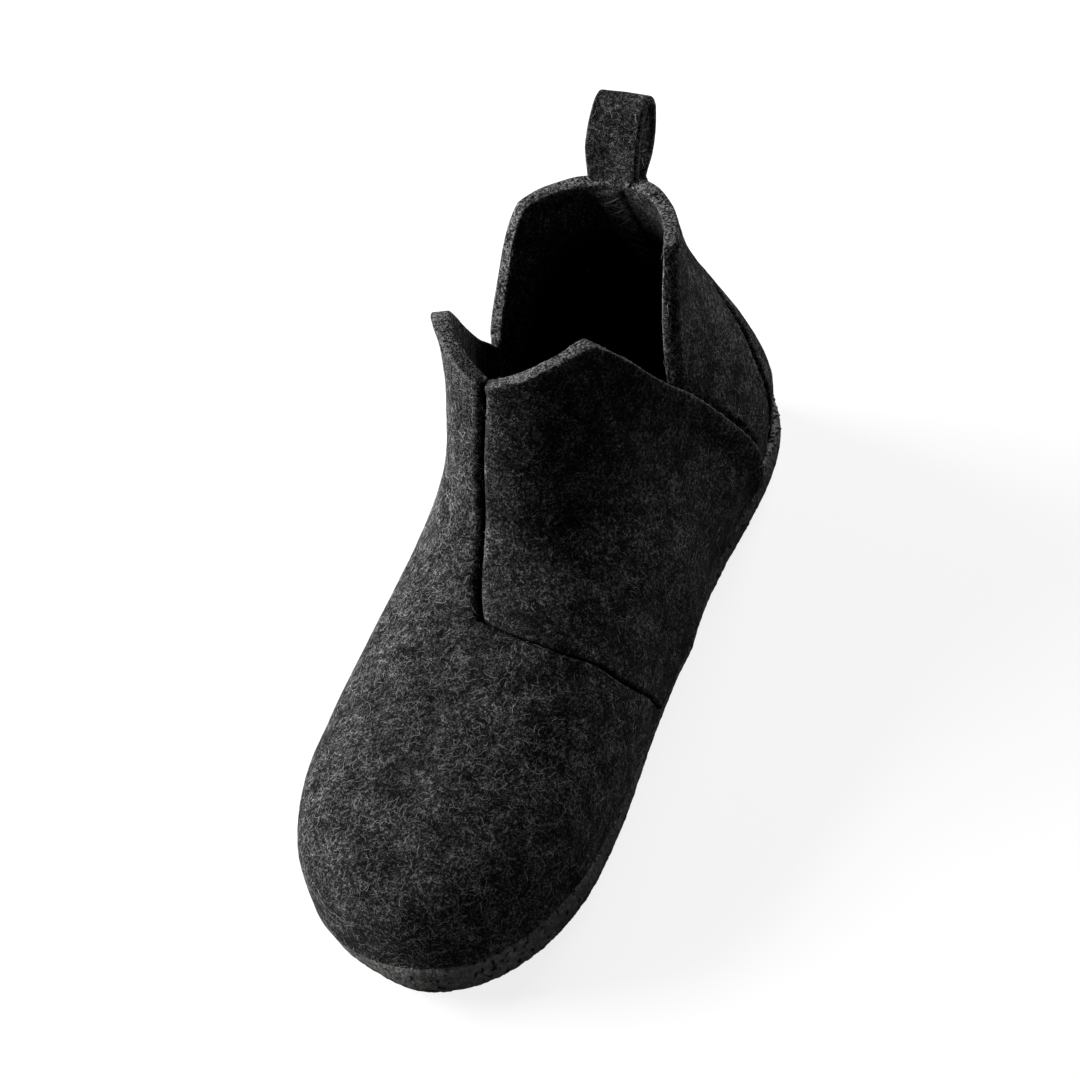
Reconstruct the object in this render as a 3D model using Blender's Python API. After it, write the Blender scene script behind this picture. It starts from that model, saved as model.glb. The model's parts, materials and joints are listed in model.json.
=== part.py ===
"""A right-foot felt slipper: felt upper, rough sole with a tread plate, insole, pull loop and loop button.

The toe points to -Y and the inner side of the foot to +X. Shapes are worked out in millimetres as
(across, along, height), with along running from the heel's back to the toe, and become metres in make_object.
"""
import bpy
import numpy as np

# Driving sizes, in millimetres
LENGTH = 250.0
BALL_WIDTH = 89.5
HEEL_WIDTH = 72.0
INSTEP_HEIGHT = 67.0
COLLAR_HEIGHT = 115.0
FELT = 4.5
PANEL_STEP = 1.5
GAP = 0.3
MM = 0.001

# Foot sections. Columns: share of the length, half width and swing to the inner side as shares of the
# ball's half width, ridge height as a share of the instep's
FOOT_SECTIONS = np.array([
    (0.00, 0.74, 0.000, 0.66),
    (0.15, 0.80, 0.024, 0.75),
    (0.30, 0.84, 0.050, 0.86),
    (0.45, 0.88, 0.093, 1.00),
    (0.58, 0.95, 0.122, 0.95),
    (0.70, 1.00, 0.158, 0.84),
    (0.80, 1.00, 0.195, 0.76),
    (0.90, 0.99, 0.242, 0.71),
    (1.00, 0.97, 0.285, 0.67),
])
TOE_RUN = 58.0
TOE_ROUNDNESS = 2.25
TOE_DOME_RUN = 46.0
TOE_DOME_ROUNDNESS = 2.6
HEEL_RUN = 36.0
HEEL_ROUNDNESS = 2.1
HEEL_FADE_START = 50.0
HEEL_FADE_END = 105.0
HEEL_FADE_DEPTH = 14.0
BULGE_HEIGHT = 24.0
TUCK_DEPTH = 60.0
SECTION_SQUARENESS = 2.5
END_STEEPNESS = 3.0

# Ankle levels. Columns: height as a share of the collar's, front and back as shares of the length,
# half width as a share of the heel's half width, lean to the inner side in millimetres, squareness in plan,
# flare of the outer side behind the ankle as a share of the half width
ANKLE_LEVELS = np.array([
    (0.07, 0.597, 0.006, 0.98, 1.0, 3.0, 0.00),
    (0.26, 0.592, -0.004, 1.06, 1.6, 3.0, 0.00),
    (0.44, 0.557, 0.009, 0.98, 1.2, 2.8, 0.06),
    (0.61, 0.528, 0.033, 0.89, 0.6, 2.5, 0.19),
    (0.78, 0.497, 0.058, 0.84, 0.2, 2.3, 0.25),
    (0.96, 0.462, 0.074, 0.86, 0.0, 2.25, 0.25),
    (1.13, 0.456, 0.083, 0.86, 0.2, 2.25, 0.25),
])
FLARE_START = 96.0
FLARE_RUN = 34.0
ANKLE_STEEPNESS = 32.4
INSTEP_BLEND = 5.0
CENTRE = np.array([0.0, 78.0, 36.0])

# Felt edges. Columns: angle round the ankle from the toe towards the inner side, height of the edge,
# angle where the same column of felt meets the sole, columns up to the next row
FRONT_EDGE = np.array([
    (-133.0, 20.0, -133.0, 3),
    (-124.0, 50.0, -118.0, 3),
    (-113.0, 71.0, -100.0, 4),
    (-83.0, 98.0, -72.0, 5),
    (-56.0, 120.0, -40.0, 10),
    (-18.0, 119.0, -16.0, 7),
    (-4.0, 113.0, 0.0, 7),
    (18.0, 119.0, 16.0, 10),
    (56.0, 120.0, 40.0, 5),
    (83.0, 98.0, 72.0, 4),
    (113.0, 71.0, 100.0, 3),
    (124.0, 50.0, 118.0, 3),
    (133.0, 20.0, 133.0, 0),
])
REAR_EDGE = np.array([
    (98.0, 56.0, 98.0, 3),
    (111.0, 72.0, 108.0, 3),
    (128.0, 93.0, 120.0, 3),
    (142.0, 110.0, 134.0, 3),
    (160.0, 110.5, 156.0, 3),
    (180.0, 109.5, 180.0, 3),
    (200.0, 110.5, 204.0, 3),
    (218.0, 110.0, 226.0, 3),
    (232.0, 93.0, 240.0, 3),
    (249.0, 72.0, 252.0, 3),
    (262.0, 56.0, 262.0, 0),
])
FRONT_ROWS = 17
REAR_ROWS = 12
REAR_LIFT = 1.0

# Sole. Columns of the side: share of the side's height from the floor, reach past the feather line
SOLE_SIDE = np.array([
    (0.00, -3.6),
    (0.12, -1.6),
    (0.35, -0.2),
    (0.68, 0.3),
    (0.92, 0.1),
    (1.00, -0.5),
])
# Sole's waist. Columns: share of the length, inset on the inner side, inset on the outer side
SOLE_WAIST = np.array([
    (0.00, 1.0, 0.4),
    (0.20, 2.0, 0.6),
    (0.40, 3.2, 1.2),
    (0.55, 2.6, 1.0),
    (0.70, 1.0, 0.3),
    (0.85, 0.2, 0.0),
    (1.00, 0.0, 0.0),
])
WAIST_BLEND = 24.0
FEATHER_HEIGHT = 13.0
TOE_SPRING = 3.5
FEATHER_SPRING = 3.0
SPRING_START = 178.0
HEEL_LIFT = 1.2
HEEL_LIFT_RUN = 14.0
LIP_RISE = 1.2
LIP_WIDTH = 4.0
TREAD_THICKNESS = 3.5
TREAD_GROOVE = 1.2
TREAD_BEVEL = 0.8
SOLE_COLUMNS = 64

# Insole
INSOLE_CLEARANCE = 0.9
INSOLE_THICKNESS = 4.0
INSOLE_DISH = 1.5
INSOLE_SLOPE = 9.0

# Pull loop and its button
LOOP_WIDTH = 17.0
LOOP_OFFSET = -5.5
LOOP_THICKNESS = 3.0
LOOP_RISE = 20.7
LOOP_SEWN_OUTSIDE = 15.0
LOOP_SEWN_ROWS = 5
LOOP_SEAT_DEPTH = 3.6
LOOP_SEAT_RISE = 1.75
LOOP_LEAN = 0.8
LOOP_TURN = 2.5
LOOP_FLATTENING = 0.6
LOOP_BULGE = 1.0
LOOP_COLUMNS = 7
LOOP_LEG_ROWS = 5
LOOP_TOP_STEPS = 8

# Turned button. Columns: radius, height above its seat
BUTTON_PROFILE = (
    (0.0, 1.9),
    (3.3, 1.7),
    (3.7, 1.3),
    (4.3, 1.3),
    (4.7, 1.9),
    (5.2, 1.7),
    (5.5, 1.1),
    (5.5, 0.0),
)
BUTTON_SIDES = 28
BUTTON_ROW = 2
SHARP_ANGLE = 50.0


def smooth_table(value, keys, entries):
    """Smooth curve through a table's column, held level beyond the first and last row."""
    slopes = np.gradient(entries, keys)
    value = np.clip(value, keys[0], keys[-1])
    row = np.clip(np.searchsorted(keys, value, side="right") - 1, 0, len(keys) - 2)
    step = keys[row + 1] - keys[row]
    t = (value - keys[row]) / step
    ahead = t * t * (3 - 2 * t)
    bend = t * (1 - t) * step * ((1 - t) * slopes[row] - t * slopes[row + 1])
    return entries[row] * (1 - ahead) + entries[row + 1] * ahead + bend


def round_end(share, power):
    """Falls from 1 to 0 along a rounded end as the share runs from 0 to 1."""
    return np.maximum(1 - np.clip(share, 0, 1) ** power, 1e-4) ** (1 / power)


def smooth_step(share):
    """Rises from 0 to 1 with level ends as the share runs from 0 to 1."""
    share = np.clip(share, 0, 1)
    return share * share * (3 - 2 * share)


def superoval(sideways, lengthwise, squareness):
    """Size of the rounded rectangle through a point: 1 on the oval itself, less inside it."""
    return (np.abs(sideways) ** squareness + np.abs(lengthwise) ** squareness) ** (1 / squareness)


def foot_form(across, along, height):
    """Rough distance to the foot part of the last: rounded sections from heel to toe."""
    share = along / LENGTH
    keys = FOOT_SECTIONS[:, 0]
    width = smooth_table(share, keys, FOOT_SECTIONS[:, 1]) * BALL_WIDTH / 2
    width = width * round_end(1 - along / HEEL_RUN, HEEL_ROUNDNESS)
    width = width * round_end((along - LENGTH + TOE_RUN) / TOE_RUN, TOE_ROUNDNESS)
    swing = smooth_table(share, keys, FOOT_SECTIONS[:, 2]) * BALL_WIDTH / 2
    crown = smooth_table(share, keys, FOOT_SECTIONS[:, 3]) * INSTEP_HEIGHT - BULGE_HEIGHT
    crown = crown * round_end((along - LENGTH + TOE_DOME_RUN) / TOE_DOME_RUN, TOE_DOME_ROUNDNESS)
    above = (height - BULGE_HEIGHT) / np.maximum(crown, 1e-3)
    below = (BULGE_HEIGHT - height) / TUCK_DEPTH
    rise = np.where(height > BULGE_HEIGHT, above, below)
    radius = superoval((across - swing) / width, rise, SECTION_SQUARENESS)
    beyond = np.maximum(0, -along) + np.maximum(0, along - LENGTH)
    fade = np.clip((HEEL_FADE_END - along) / (HEEL_FADE_END - HEEL_FADE_START), 0, 1)
    return (radius - 1) * np.clip(width, 4, 40) + END_STEEPNESS * beyond + HEEL_FADE_DEPTH * fade


def ankle_form(across, along, height):
    """Rough distance to the ankle part of the last: ovals from the sole to above the collar."""
    level = height / COLLAR_HEIGHT
    keys = ANKLE_LEVELS[:, 0]
    front = smooth_table(level, keys, ANKLE_LEVELS[:, 1]) * LENGTH
    back = smooth_table(level, keys, ANKLE_LEVELS[:, 2]) * LENGTH
    width = smooth_table(level, keys, ANKLE_LEVELS[:, 3]) * HEEL_WIDTH / 2
    lean = smooth_table(level, keys, ANKLE_LEVELS[:, 4])
    square = smooth_table(level, keys, ANKLE_LEVELS[:, 5])
    flare = smooth_table(level, keys, ANKLE_LEVELS[:, 6]) * smooth_step((FLARE_START - along) / FLARE_RUN)
    width = np.where(across < lean, width * (1 + flare), width)
    from_middle = (along - (front + back) / 2) / ((front - back) / 2)
    return (superoval((across - lean) / width, from_middle, square) - 1) * ANKLE_STEEPNESS


def last_form(points):
    """Both parts of the last, run together at the instep: negative inside."""
    across, along, height = np.moveaxis(points, -1, 0)
    foot = foot_form(across, along, height)
    ankle = ankle_form(across, along, height)
    nearer = np.minimum(foot, ankle)
    return nearer - INSTEP_BLEND * np.log(np.exp((nearer - foot) / INSTEP_BLEND)
                                          + np.exp((nearer - ankle) / INSTEP_BLEND))


def outward_hit(start, direction, follow=None, reach=240.0):
    """Where rays from inside leave the last; follow may bend a ray to the feather line's height."""
    near = np.zeros(direction.shape[:-1])
    far = np.full(direction.shape[:-1], reach)
    for _ in range(34):
        middle = (near + far) / 2
        points = start + direction * middle[..., None]
        if follow is not None:
            points[..., 2] = follow(points[..., 1])
        inside = last_form(points) < 0
        near = np.where(inside, middle, near)
        far = np.where(inside, far, middle)
    points = start + direction * near[..., None]
    if follow is not None:
        points[..., 2] = follow(points[..., 1])
    return points


def wall_point(angle, height):
    """Point of the last at an angle round the ankle; the height may be a line along the foot."""
    turn = np.radians(np.asarray(angle, float))
    direction = np.stack([np.sin(turn), np.cos(turn), np.zeros_like(turn)], -1)
    start = np.broadcast_to(CENTRE, direction.shape).copy()
    if callable(height):
        return outward_hit(start, direction, follow=height)
    start[..., 2] = height
    return outward_hit(start, direction)


def outward(points, reach=0.2):
    """Unit normals of the last."""
    slopes = [last_form(points + step) - last_form(points - step) for step in np.eye(3) * reach]
    normal = np.stack(slopes, -1)
    return normal / np.linalg.norm(normal, axis=-1, keepdims=True)


def toe_share(along):
    """How far a place lies into the sole's raised toe: 0 where it starts, 1 at the tip."""
    return np.clip((along - SPRING_START) / (LENGTH - SPRING_START), 0, 1.1)


def ground(along):
    """Height of the sole's underside: flat, with toe spring and a small lift at the heel's back."""
    return TOE_SPRING * toe_share(along) ** 2 + HEEL_LIFT * np.clip(1 - along / HEEL_LIFT_RUN, 0, 1.1) ** 2


def feather(along):
    """Height of the felt's lower edge."""
    return FEATHER_HEIGHT + FEATHER_SPRING * toe_share(along) ** 2


def felt_rails(edge):
    """Low and high rail of a panel: its columns' feet on the feather line and their ends on the cut edge."""
    pairs = zip(edge[:-1], edge[1:])
    parts = [np.linspace(row, following, int(row[3]), endpoint=False) for row, following in pairs]
    rows = np.concatenate(parts + [edge[-1:]])
    return wall_point(rows[:, 2], feather), wall_point(rows[:, 0], rows[:, 1]), rows[:, 2]


def felt_grid(low, high, row_count, dense=60):
    """Columns of points on the last from a low rail to a high rail, evenly spaced up each column."""
    start = (low - CENTRE) / np.linalg.norm(low - CENTRE, axis=-1, keepdims=True)
    end = (high - CENTRE) / np.linalg.norm(high - CENTRE, axis=-1, keepdims=True)
    angle = np.arccos(np.clip((start * end).sum(-1), -1, 1))[:, None, None]
    share = np.linspace(0, 1, dense)[None, :, None]
    from_start = np.sin((1 - share) * angle) * start[:, None]
    from_end = np.sin(share * angle) * end[:, None]
    points = outward_hit(CENTRE, (from_start + from_end) / np.sin(angle))
    run = np.cumsum(np.linalg.norm(np.diff(points, axis=1), axis=-1), axis=1)
    run = np.concatenate([np.zeros((len(run), 1)), run], axis=1)
    even = np.linspace(0, 1, row_count)
    aim = np.empty((len(points), row_count, 3))
    for column, line, length in zip(aim, points, run):
        for k in range(3):
            column[:, k] = np.interp(even * length[-1], length, line[:, k]) - CENTRE[k]
    return outward_hit(CENTRE, aim / np.linalg.norm(aim, axis=-1, keepdims=True))


def sheet_solid(outer, inner):
    """Closed wall between two grids of points with the same rows and columns."""
    columns, rows = outer.shape[:2]
    index = np.arange(columns * rows).reshape(columns, rows)
    back = index + columns * rows
    faces = []
    for i in range(columns - 1):
        for j in range(rows - 1):
            faces.append((index[i, j], index[i + 1, j], index[i + 1, j + 1], index[i, j + 1]))
            faces.append((back[i, j], back[i, j + 1], back[i + 1, j + 1], back[i + 1, j]))
    border = [index[:, 0], index[-1, :], index[::-1, -1], index[0, ::-1]]
    for line in border:
        for p, q in zip(line[:-1], line[1:]):
            faces.append((q, p, p + columns * rows, q + columns * rows))
    return np.concatenate([outer.reshape(-1, 3), inner.reshape(-1, 3)]), faces


def front_felt():
    """Vamp and both quarters: one wall from the heel's outer side round the toe to its inner side."""
    low, high, _ = felt_rails(FRONT_EDGE)
    face = felt_grid(low, high, FRONT_ROWS)
    return sheet_solid(face, face - outward(face) * FELT)


def rear_felt():
    """Ankle panel and counter: a wall round the heel, tucked under the quarters by the panel step."""
    low, high, foot_angle = felt_rails(REAR_EDGE)
    face = felt_grid(low, high, REAR_ROWS)
    tucked = np.abs(foot_angle - 180) > 180 - FRONT_EDGE[-1, 2]
    face[tucked, 0, 2] += REAR_LIFT
    normal = outward(face)
    outer = face - normal * PANEL_STEP
    return sheet_solid(outer, outer - normal * FELT)


def plan_offset(ring, reach):
    """Ring moved outwards in plan."""
    tangent = np.roll(ring, -1, axis=0) - np.roll(ring, 1, axis=0)
    normal = np.stack([-tangent[:, 1], tangent[:, 0]], -1)
    normal = normal / np.linalg.norm(normal, axis=-1, keepdims=True)
    moved = ring.copy()
    moved[:, :2] += normal * np.reshape(reach, (-1, 1))
    return moved


def waist(ring):
    """How far the sole's edge lies inside the feather line."""
    share = ring[:, 1] / LENGTH
    inner = smooth_table(share, SOLE_WAIST[:, 0], SOLE_WAIST[:, 1])
    outer = smooth_table(share, SOLE_WAIST[:, 0], SOLE_WAIST[:, 2])
    swing = smooth_table(share, FOOT_SECTIONS[:, 0], FOOT_SECTIONS[:, 2]) * BALL_WIDTH / 2
    inward = smooth_step((ring[:, 0] - swing) / WAIST_BLEND + 0.5)
    return outer + (inner - outer) * inward


def sole_ring():
    """Feather line seen from above, in even steps."""
    angle = np.linspace(0, 360, 721)
    line = wall_point(angle, feather)
    run = np.concatenate([[0], np.cumsum(np.linalg.norm(np.diff(line, axis=0), axis=-1))])
    even = np.linspace(0, run[-1], SOLE_COLUMNS, endpoint=False)
    return np.stack([np.interp(even, run, line[:, k]) for k in range(3)], -1)


def ladder(first, count, upward):
    """Faces across a closed ring that starts at the toe's tip, rung by rung from toe to heel."""
    left = [first + i for i in range(count // 2 + 1)]
    right = [first + (count - i) % count for i in range(count // 2 + 1)]
    faces = [(left[0], left[1], right[1])]
    for i in range(1, count // 2 - 1):
        faces.append((left[i], left[i + 1], right[i + 1], right[i]))
    faces.append((left[-2], left[-1], right[-2]))
    return faces if upward else [face[::-1] for face in faces]


def ring_solid(rings):
    """Closed solid through rings of points, with the first and last ring closed."""
    count = len(rings[0])
    faces = ladder(0, count, upward=False) + ladder((len(rings) - 1) * count, count, upward=True)
    for level in range(len(rings) - 1):
        low, high = level * count, (level + 1) * count
        for i in range(count):
            k = (i + 1) % count
            faces.append((low + i, low + k, high + k, high + i))
    return np.concatenate(rings), faces


def at_height(ring, height):
    """Ring with its heights set from a line along the foot."""
    placed = ring.copy()
    placed[:, 2] = height(ring[:, 1])
    return placed


def sole_rim(ring):
    """Rough shell: recess for the tread plate, rounded lip, side wall and the bed that carries the upper."""
    inset = waist(ring)
    lip = plan_offset(ring, SOLE_SIDE[0, 1] - LIP_WIDTH - inset)
    rings = [
        at_height(lip, lambda along: ground(along) + TREAD_THICKNESS + GAP),
        at_height(lip, lambda along: ground(along) + LIP_RISE),
    ]
    for share, reach in SOLE_SIDE:
        wall = plan_offset(ring, reach - inset)
        floor = ground(wall[:, 1]) + LIP_RISE
        wall[:, 2] = floor + (feather(wall[:, 1]) - GAP - floor) * share
        rings.append(wall)
    return ring_solid(rings)


def tread_plate(ring):
    """Plate that the slipper stands on, set in the shell's recess with a groove round it."""
    edge = plan_offset(ring, SOLE_SIDE[0, 1] - LIP_WIDTH - TREAD_GROOVE - waist(ring))
    return ring_solid([
        at_height(plan_offset(edge, -TREAD_BEVEL), ground),
        at_height(edge, lambda along: ground(along) + TREAD_BEVEL),
        at_height(edge, lambda along: ground(along) + TREAD_THICKNESS),
    ])


def footbed(ring):
    """Plain insole inside the felt walls, a little dished."""
    edge = plan_offset(ring, -(FELT + PANEL_STEP + INSOLE_CLEARANCE))
    dish = plan_offset(edge, -INSOLE_SLOPE)
    return ring_solid([
        at_height(edge, feather),
        at_height(edge, lambda along: feather(along) + INSOLE_THICKNESS),
        at_height(dish, lambda along: feather(along) + INSOLE_THICKNESS - INSOLE_DISH),
    ])


def heel_back(across, height):
    """Points of the last at the heel's back."""
    start = np.stack([across, np.full_like(across, CENTRE[1]), height], -1)
    return outward_hit(start, np.broadcast_to((0.0, -1.0, 0.0), start.shape))


def loop_middle():
    """Middle surface of the loop's strip: columns across, rows from the outer end over the top inwards."""
    across = LOOP_OFFSET + np.linspace(LOOP_WIDTH / 2, -LOOP_WIDTH / 2, LOOP_COLUMNS)
    collar = REAR_EDGE[len(REAR_EDGE) // 2, 1]
    levels = np.linspace(collar - LOOP_SEWN_OUTSIDE, collar, LOOP_SEWN_ROWS)
    wall = heel_back(*np.meshgrid(across, levels, indexing="ij"))
    outer = wall + outward(wall) * (GAP + LOOP_THICKNESS / 2 - PANEL_STEP)
    inner = wall[:, -1] - outward(wall[:, -1]) * (PANEL_STEP + LOOP_SEAT_DEPTH)
    middle = (outer[:, -1] + inner) / 2
    half_gap = (outer[:, -1] - inner) / 2
    radius = np.linalg.norm(half_gap, axis=-1).mean()
    centre = middle[len(middle) // 2]
    lean = np.array([0.0, -LOOP_LEAN, 1.0])
    square = np.array([0.0, -1.0, -LOOP_LEAN]) * radius / np.hypot(1, LOOP_LEAN)

    def free(rise, sway):
        share = rise / LOOP_RISE
        turned = smooth_step(share * LOOP_TURN)
        spread = (half_gap * (1 - turned) + square * turned) * (1 + LOOP_BULGE * np.sin(np.pi * share))
        row = middle.copy()
        row[:, 1:] = centre[1:] + (middle - centre)[:, 1:] * (1 - LOOP_FLATTENING * share)
        return row + lean * rise + spread * sway

    straight = np.linspace(0, LOOP_RISE - radius, LOOP_LEG_ROWS + 1)[1:]
    turn = np.linspace(0, np.pi, LOOP_TOP_STEPS + 1)[1:-1]
    rows = [outer[:, j] for j in range(LOOP_SEWN_ROWS)]
    rows += [free(rise, 1.0) for rise in straight]
    rows += [free(straight[-1] + radius * np.sin(t), np.cos(t)) for t in turn]
    rows += [free(rise, -1.0) for rise in straight[::-1]]
    rows += [free(LOOP_SEAT_RISE, -1.0)]
    return np.stack(rows, 1)


def strip_normals(strip):
    """Unit normals of a strip's middle surface, outwards on its outer leg."""
    along = np.gradient(strip, axis=1)
    across = np.gradient(strip, axis=0)
    normal = np.cross(along, across)
    return normal / np.linalg.norm(normal, axis=-1, keepdims=True)


def loop_strip(strip):
    """Felt strip with its thickness on both sides of the middle surface."""
    half = strip_normals(strip) * LOOP_THICKNESS / 2
    return sheet_solid(strip + half, strip - half)


def loop_button(strip):
    """Turned metal stud on the loop's outer face."""
    row = LOOP_SEWN_ROWS + BUTTON_ROW
    column = strip.shape[0] // 2
    axis = strip_normals(strip)[column, row]
    seat = strip[column, row] + axis * (LOOP_THICKNESS / 2 + 2 * GAP)
    side = np.cross((1.0, 0.0, 0.0), axis)
    side = side / np.linalg.norm(side)
    turn = np.linspace(0, 2 * np.pi, BUTTON_SIDES, endpoint=False)
    ray = np.cos(turn)[:, None] * np.array([1.0, 0.0, 0.0]) + np.sin(turn)[:, None] * side
    rings = [seat + ray * radius + axis * rise for radius, rise in BUTTON_PROFILE[1:]]
    points = np.concatenate(rings[::-1] + [(seat + axis * BUTTON_PROFILE[0][1])[None], seat[None]])
    faces = []
    for level in range(len(rings) - 1):
        for i in range(BUTTON_SIDES):
            k = (i + 1) % BUTTON_SIDES
            low, high = level * BUTTON_SIDES, (level + 1) * BUTTON_SIDES
            faces.append((low + i, low + k, high + k, high + i))
    top = (len(rings) - 1) * BUTTON_SIDES
    for i in range(BUTTON_SIDES):
        k = (i + 1) % BUTTON_SIDES
        faces.append((top + i, top + k, len(points) - 2))
        faces.append((k, i, len(points) - 1))
    return points, faces


def finish(name, colour, roughness, metallic=0.0):
    """Surface material of one piece."""
    material = bpy.data.materials.new(name)
    material.use_nodes = True
    shader = material.node_tree.nodes["Principled BSDF"]
    shader.inputs["Base Color"].default_value = (*colour, 1.0)
    shader.inputs["Roughness"].default_value = roughness
    shader.inputs["Metallic"].default_value = metallic
    return material


def make_object(name, shape, material, middle):
    """Object in metres, with the toe to -Y and the slipper's box centred on the origin."""
    points, faces = shape
    world = np.stack([points[:, 0] - middle[0], middle[1] - points[:, 1], points[:, 2]], -1) * MM
    mesh = bpy.data.meshes.new(name)
    mesh.from_pydata(world.tolist(), [], [tuple(int(i) for i in face) for face in faces])
    mesh.materials.append(material)
    mesh.shade_smooth()
    mesh.set_sharp_from_angle(angle=np.radians(SHARP_ANGLE))
    made = bpy.data.objects.new(name, mesh)
    bpy.context.scene.collection.objects.link(made)
    return made


def build():
    """Every piece of the slipper."""
    for old in list(bpy.data.objects):
        bpy.data.objects.remove(old)
    ring = sole_ring()
    strip = loop_middle()
    shapes = {
        "outsole": tread_plate(ring),
        "sole_rim": sole_rim(ring),
        "insole": footbed(ring),
        "upper": front_felt(),
        "rear_panel": rear_felt(),
        "pull_loop": loop_strip(strip),
        "loop_button": loop_button(strip),
    }
    corners = np.concatenate([points for points, _ in shapes.values()])
    middle = (corners.min(axis=0) + corners.max(axis=0)) / 2
    felt = finish("felt", (0.022, 0.022, 0.024), 0.95)
    finishes = {
        "outsole": finish("tread", (0.012, 0.012, 0.012), 0.7),
        "sole_rim": finish("crumb", (0.03, 0.028, 0.026), 0.65),
        "insole": finish("footbed", (0.03, 0.03, 0.032), 0.9),
        "loop_button": finish("metal", (0.35, 0.34, 0.33), 0.4, 1.0),
    }
    made = {}
    for name, shape in shapes.items():
        made[name] = make_object(name, shape, finishes.get(name, felt), middle)
    rear = made["rear_panel"]
    rear.hide_render = True
    rear.display_type = "WIRE"
    join = made["upper"].modifiers.new("rear panel sewn in", "BOOLEAN")
    join.operation = "UNION"
    join.solver = "EXACT"
    join.object = rear


build()
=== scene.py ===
import json
import math

import bpy
import numpy as np
from mathutils import Matrix, Vector, noise

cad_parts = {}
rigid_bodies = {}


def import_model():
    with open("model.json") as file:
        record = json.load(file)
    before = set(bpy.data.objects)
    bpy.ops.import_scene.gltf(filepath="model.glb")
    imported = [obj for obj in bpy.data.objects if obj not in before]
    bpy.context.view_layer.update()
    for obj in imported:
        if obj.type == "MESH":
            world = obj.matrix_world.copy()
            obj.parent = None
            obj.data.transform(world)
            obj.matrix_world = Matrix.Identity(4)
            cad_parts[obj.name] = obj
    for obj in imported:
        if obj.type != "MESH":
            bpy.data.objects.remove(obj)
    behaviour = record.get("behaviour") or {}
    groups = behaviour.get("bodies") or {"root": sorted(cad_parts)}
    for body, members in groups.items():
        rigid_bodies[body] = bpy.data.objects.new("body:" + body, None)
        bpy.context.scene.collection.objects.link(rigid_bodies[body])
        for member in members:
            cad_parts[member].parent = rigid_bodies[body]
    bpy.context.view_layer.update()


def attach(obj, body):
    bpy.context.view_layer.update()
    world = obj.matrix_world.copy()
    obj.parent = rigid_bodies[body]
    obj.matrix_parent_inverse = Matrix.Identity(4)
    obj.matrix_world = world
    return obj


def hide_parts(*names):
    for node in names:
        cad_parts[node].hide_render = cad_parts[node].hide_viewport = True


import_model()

# Sole shell
# A tray moulded from dark rubber crumb, rough all over, with a rounded side and a lip round the tread.
# It takes its outline from the last that the felt is shaped on too, so the last is worked out here.
# Lengths are millimetres: across to the foot's inner side, along from heel to toe, and height.
LENGTH = 250.0
BALL_WIDTH = 89.5
HEEL_WIDTH = 72.0
INSTEP_HEIGHT = 67.0
COLLAR_HEIGHT = 115.0
FRAME_MIDDLE = np.array([7.083, 125.118])
ANKLE_CENTRE = np.array([0.0, 78.0, 36.0])
MM = 0.001
# Columns: share of the length, half width, swing to the inner side, ridge height
FOOT_SECTIONS = np.array([
    (0.00, 0.74, 0.000, 0.66),
    (0.15, 0.80, 0.024, 0.75),
    (0.30, 0.84, 0.050, 0.86),
    (0.45, 0.88, 0.093, 1.00),
    (0.58, 0.95, 0.122, 0.95),
    (0.70, 1.00, 0.158, 0.84),
    (0.80, 0.995, 0.190, 0.76),
    (0.90, 0.970, 0.222, 0.71),
    (1.00, 0.950, 0.265, 0.67),
])
# Columns: share of the collar's height, front, back, half width, lean, squareness, flare of the outer side
ANKLE_LEVELS = np.array([
    (0.07, 0.597, 0.006, 0.98, 1.0, 3.0, 0.00),
    (0.26, 0.592, -0.004, 1.06, 1.6, 3.0, 0.00),
    (0.44, 0.557, 0.009, 0.98, 1.2, 2.8, 0.06),
    (0.61, 0.528, 0.033, 0.89, 0.6, 2.5, 0.19),
    (0.78, 0.497, 0.058, 0.84, 0.2, 2.3, 0.25),
    (0.96, 0.462, 0.074, 0.86, 0.0, 2.25, 0.25),
    (1.13, 0.456, 0.083, 0.86, 0.2, 2.25, 0.25),
])
TOE_RUN = 58.0
TOE_ROUNDNESS = 2.25
HEEL_RUN = 36.0
HEEL_ROUNDNESS = 2.1
DOME_RUN = 46.0
DOME_ROUNDNESS = 2.6
BULGE_HEIGHT = 24.0
TUCK_UNDER = 60.0
FLARE_START = 96.0
FLARE_RUN = 34.0
FEATHER_HEIGHT = 13.0
FEATHER_SPRING = 3.0
TOE_SPRING = 2.2
SPRING_START = 178.0
HEEL_LIFT = 1.2
HEEL_LIFT_RUN = 14.0
LIP_RISE = 1.2
# Columns: share of the length, inset of the sole on the inner side and on the outer side
SOLE_WAIST = np.array([
    (0.00, -0.4, 0.4),
    (0.20, 0.5, 0.6),
    (0.40, 2.6, 1.2),
    (0.55, 2.4, 1.2),
    (0.70, 0.6, 1.2),
    (0.85, -0.7, 2.2),
    (1.00, -1.4, 1.6),
])
# Columns: share of the side's height, reach past the feather line, roughness of the crumb
SHELL_PROFILE = np.array([
    (0.22, -7.6, 0.0),
    (0.06, -7.6, 0.4),
    (0.00, -6.8, 0.8),
    (-0.03, -5.2, 1.0),
    (0.01, -3.4, 0.9),
    (0.12, -1.7, 0.7),
    (0.35, -0.3, 0.45),
    (0.68, 0.2, 0.4),
    (0.90, 0.0, 0.45),
    (1.00, -0.6, 0.6),
    (1.02, -2.0, 0.6),
    (1.00, -4.4, 0.0),
])
WAIST_BLEND = 24.0
SHELL_COLUMNS = 1080
SHELL_ROWS = 44
CRUMB_HEIGHT = 0.42
# Loose crumbs stand mostly on the inner side, past this place across and short of this one along
LOOSE_SIDE = 20.0
LOOSE_END = 190.0
FEW_CRUMBS = 0.08


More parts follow.
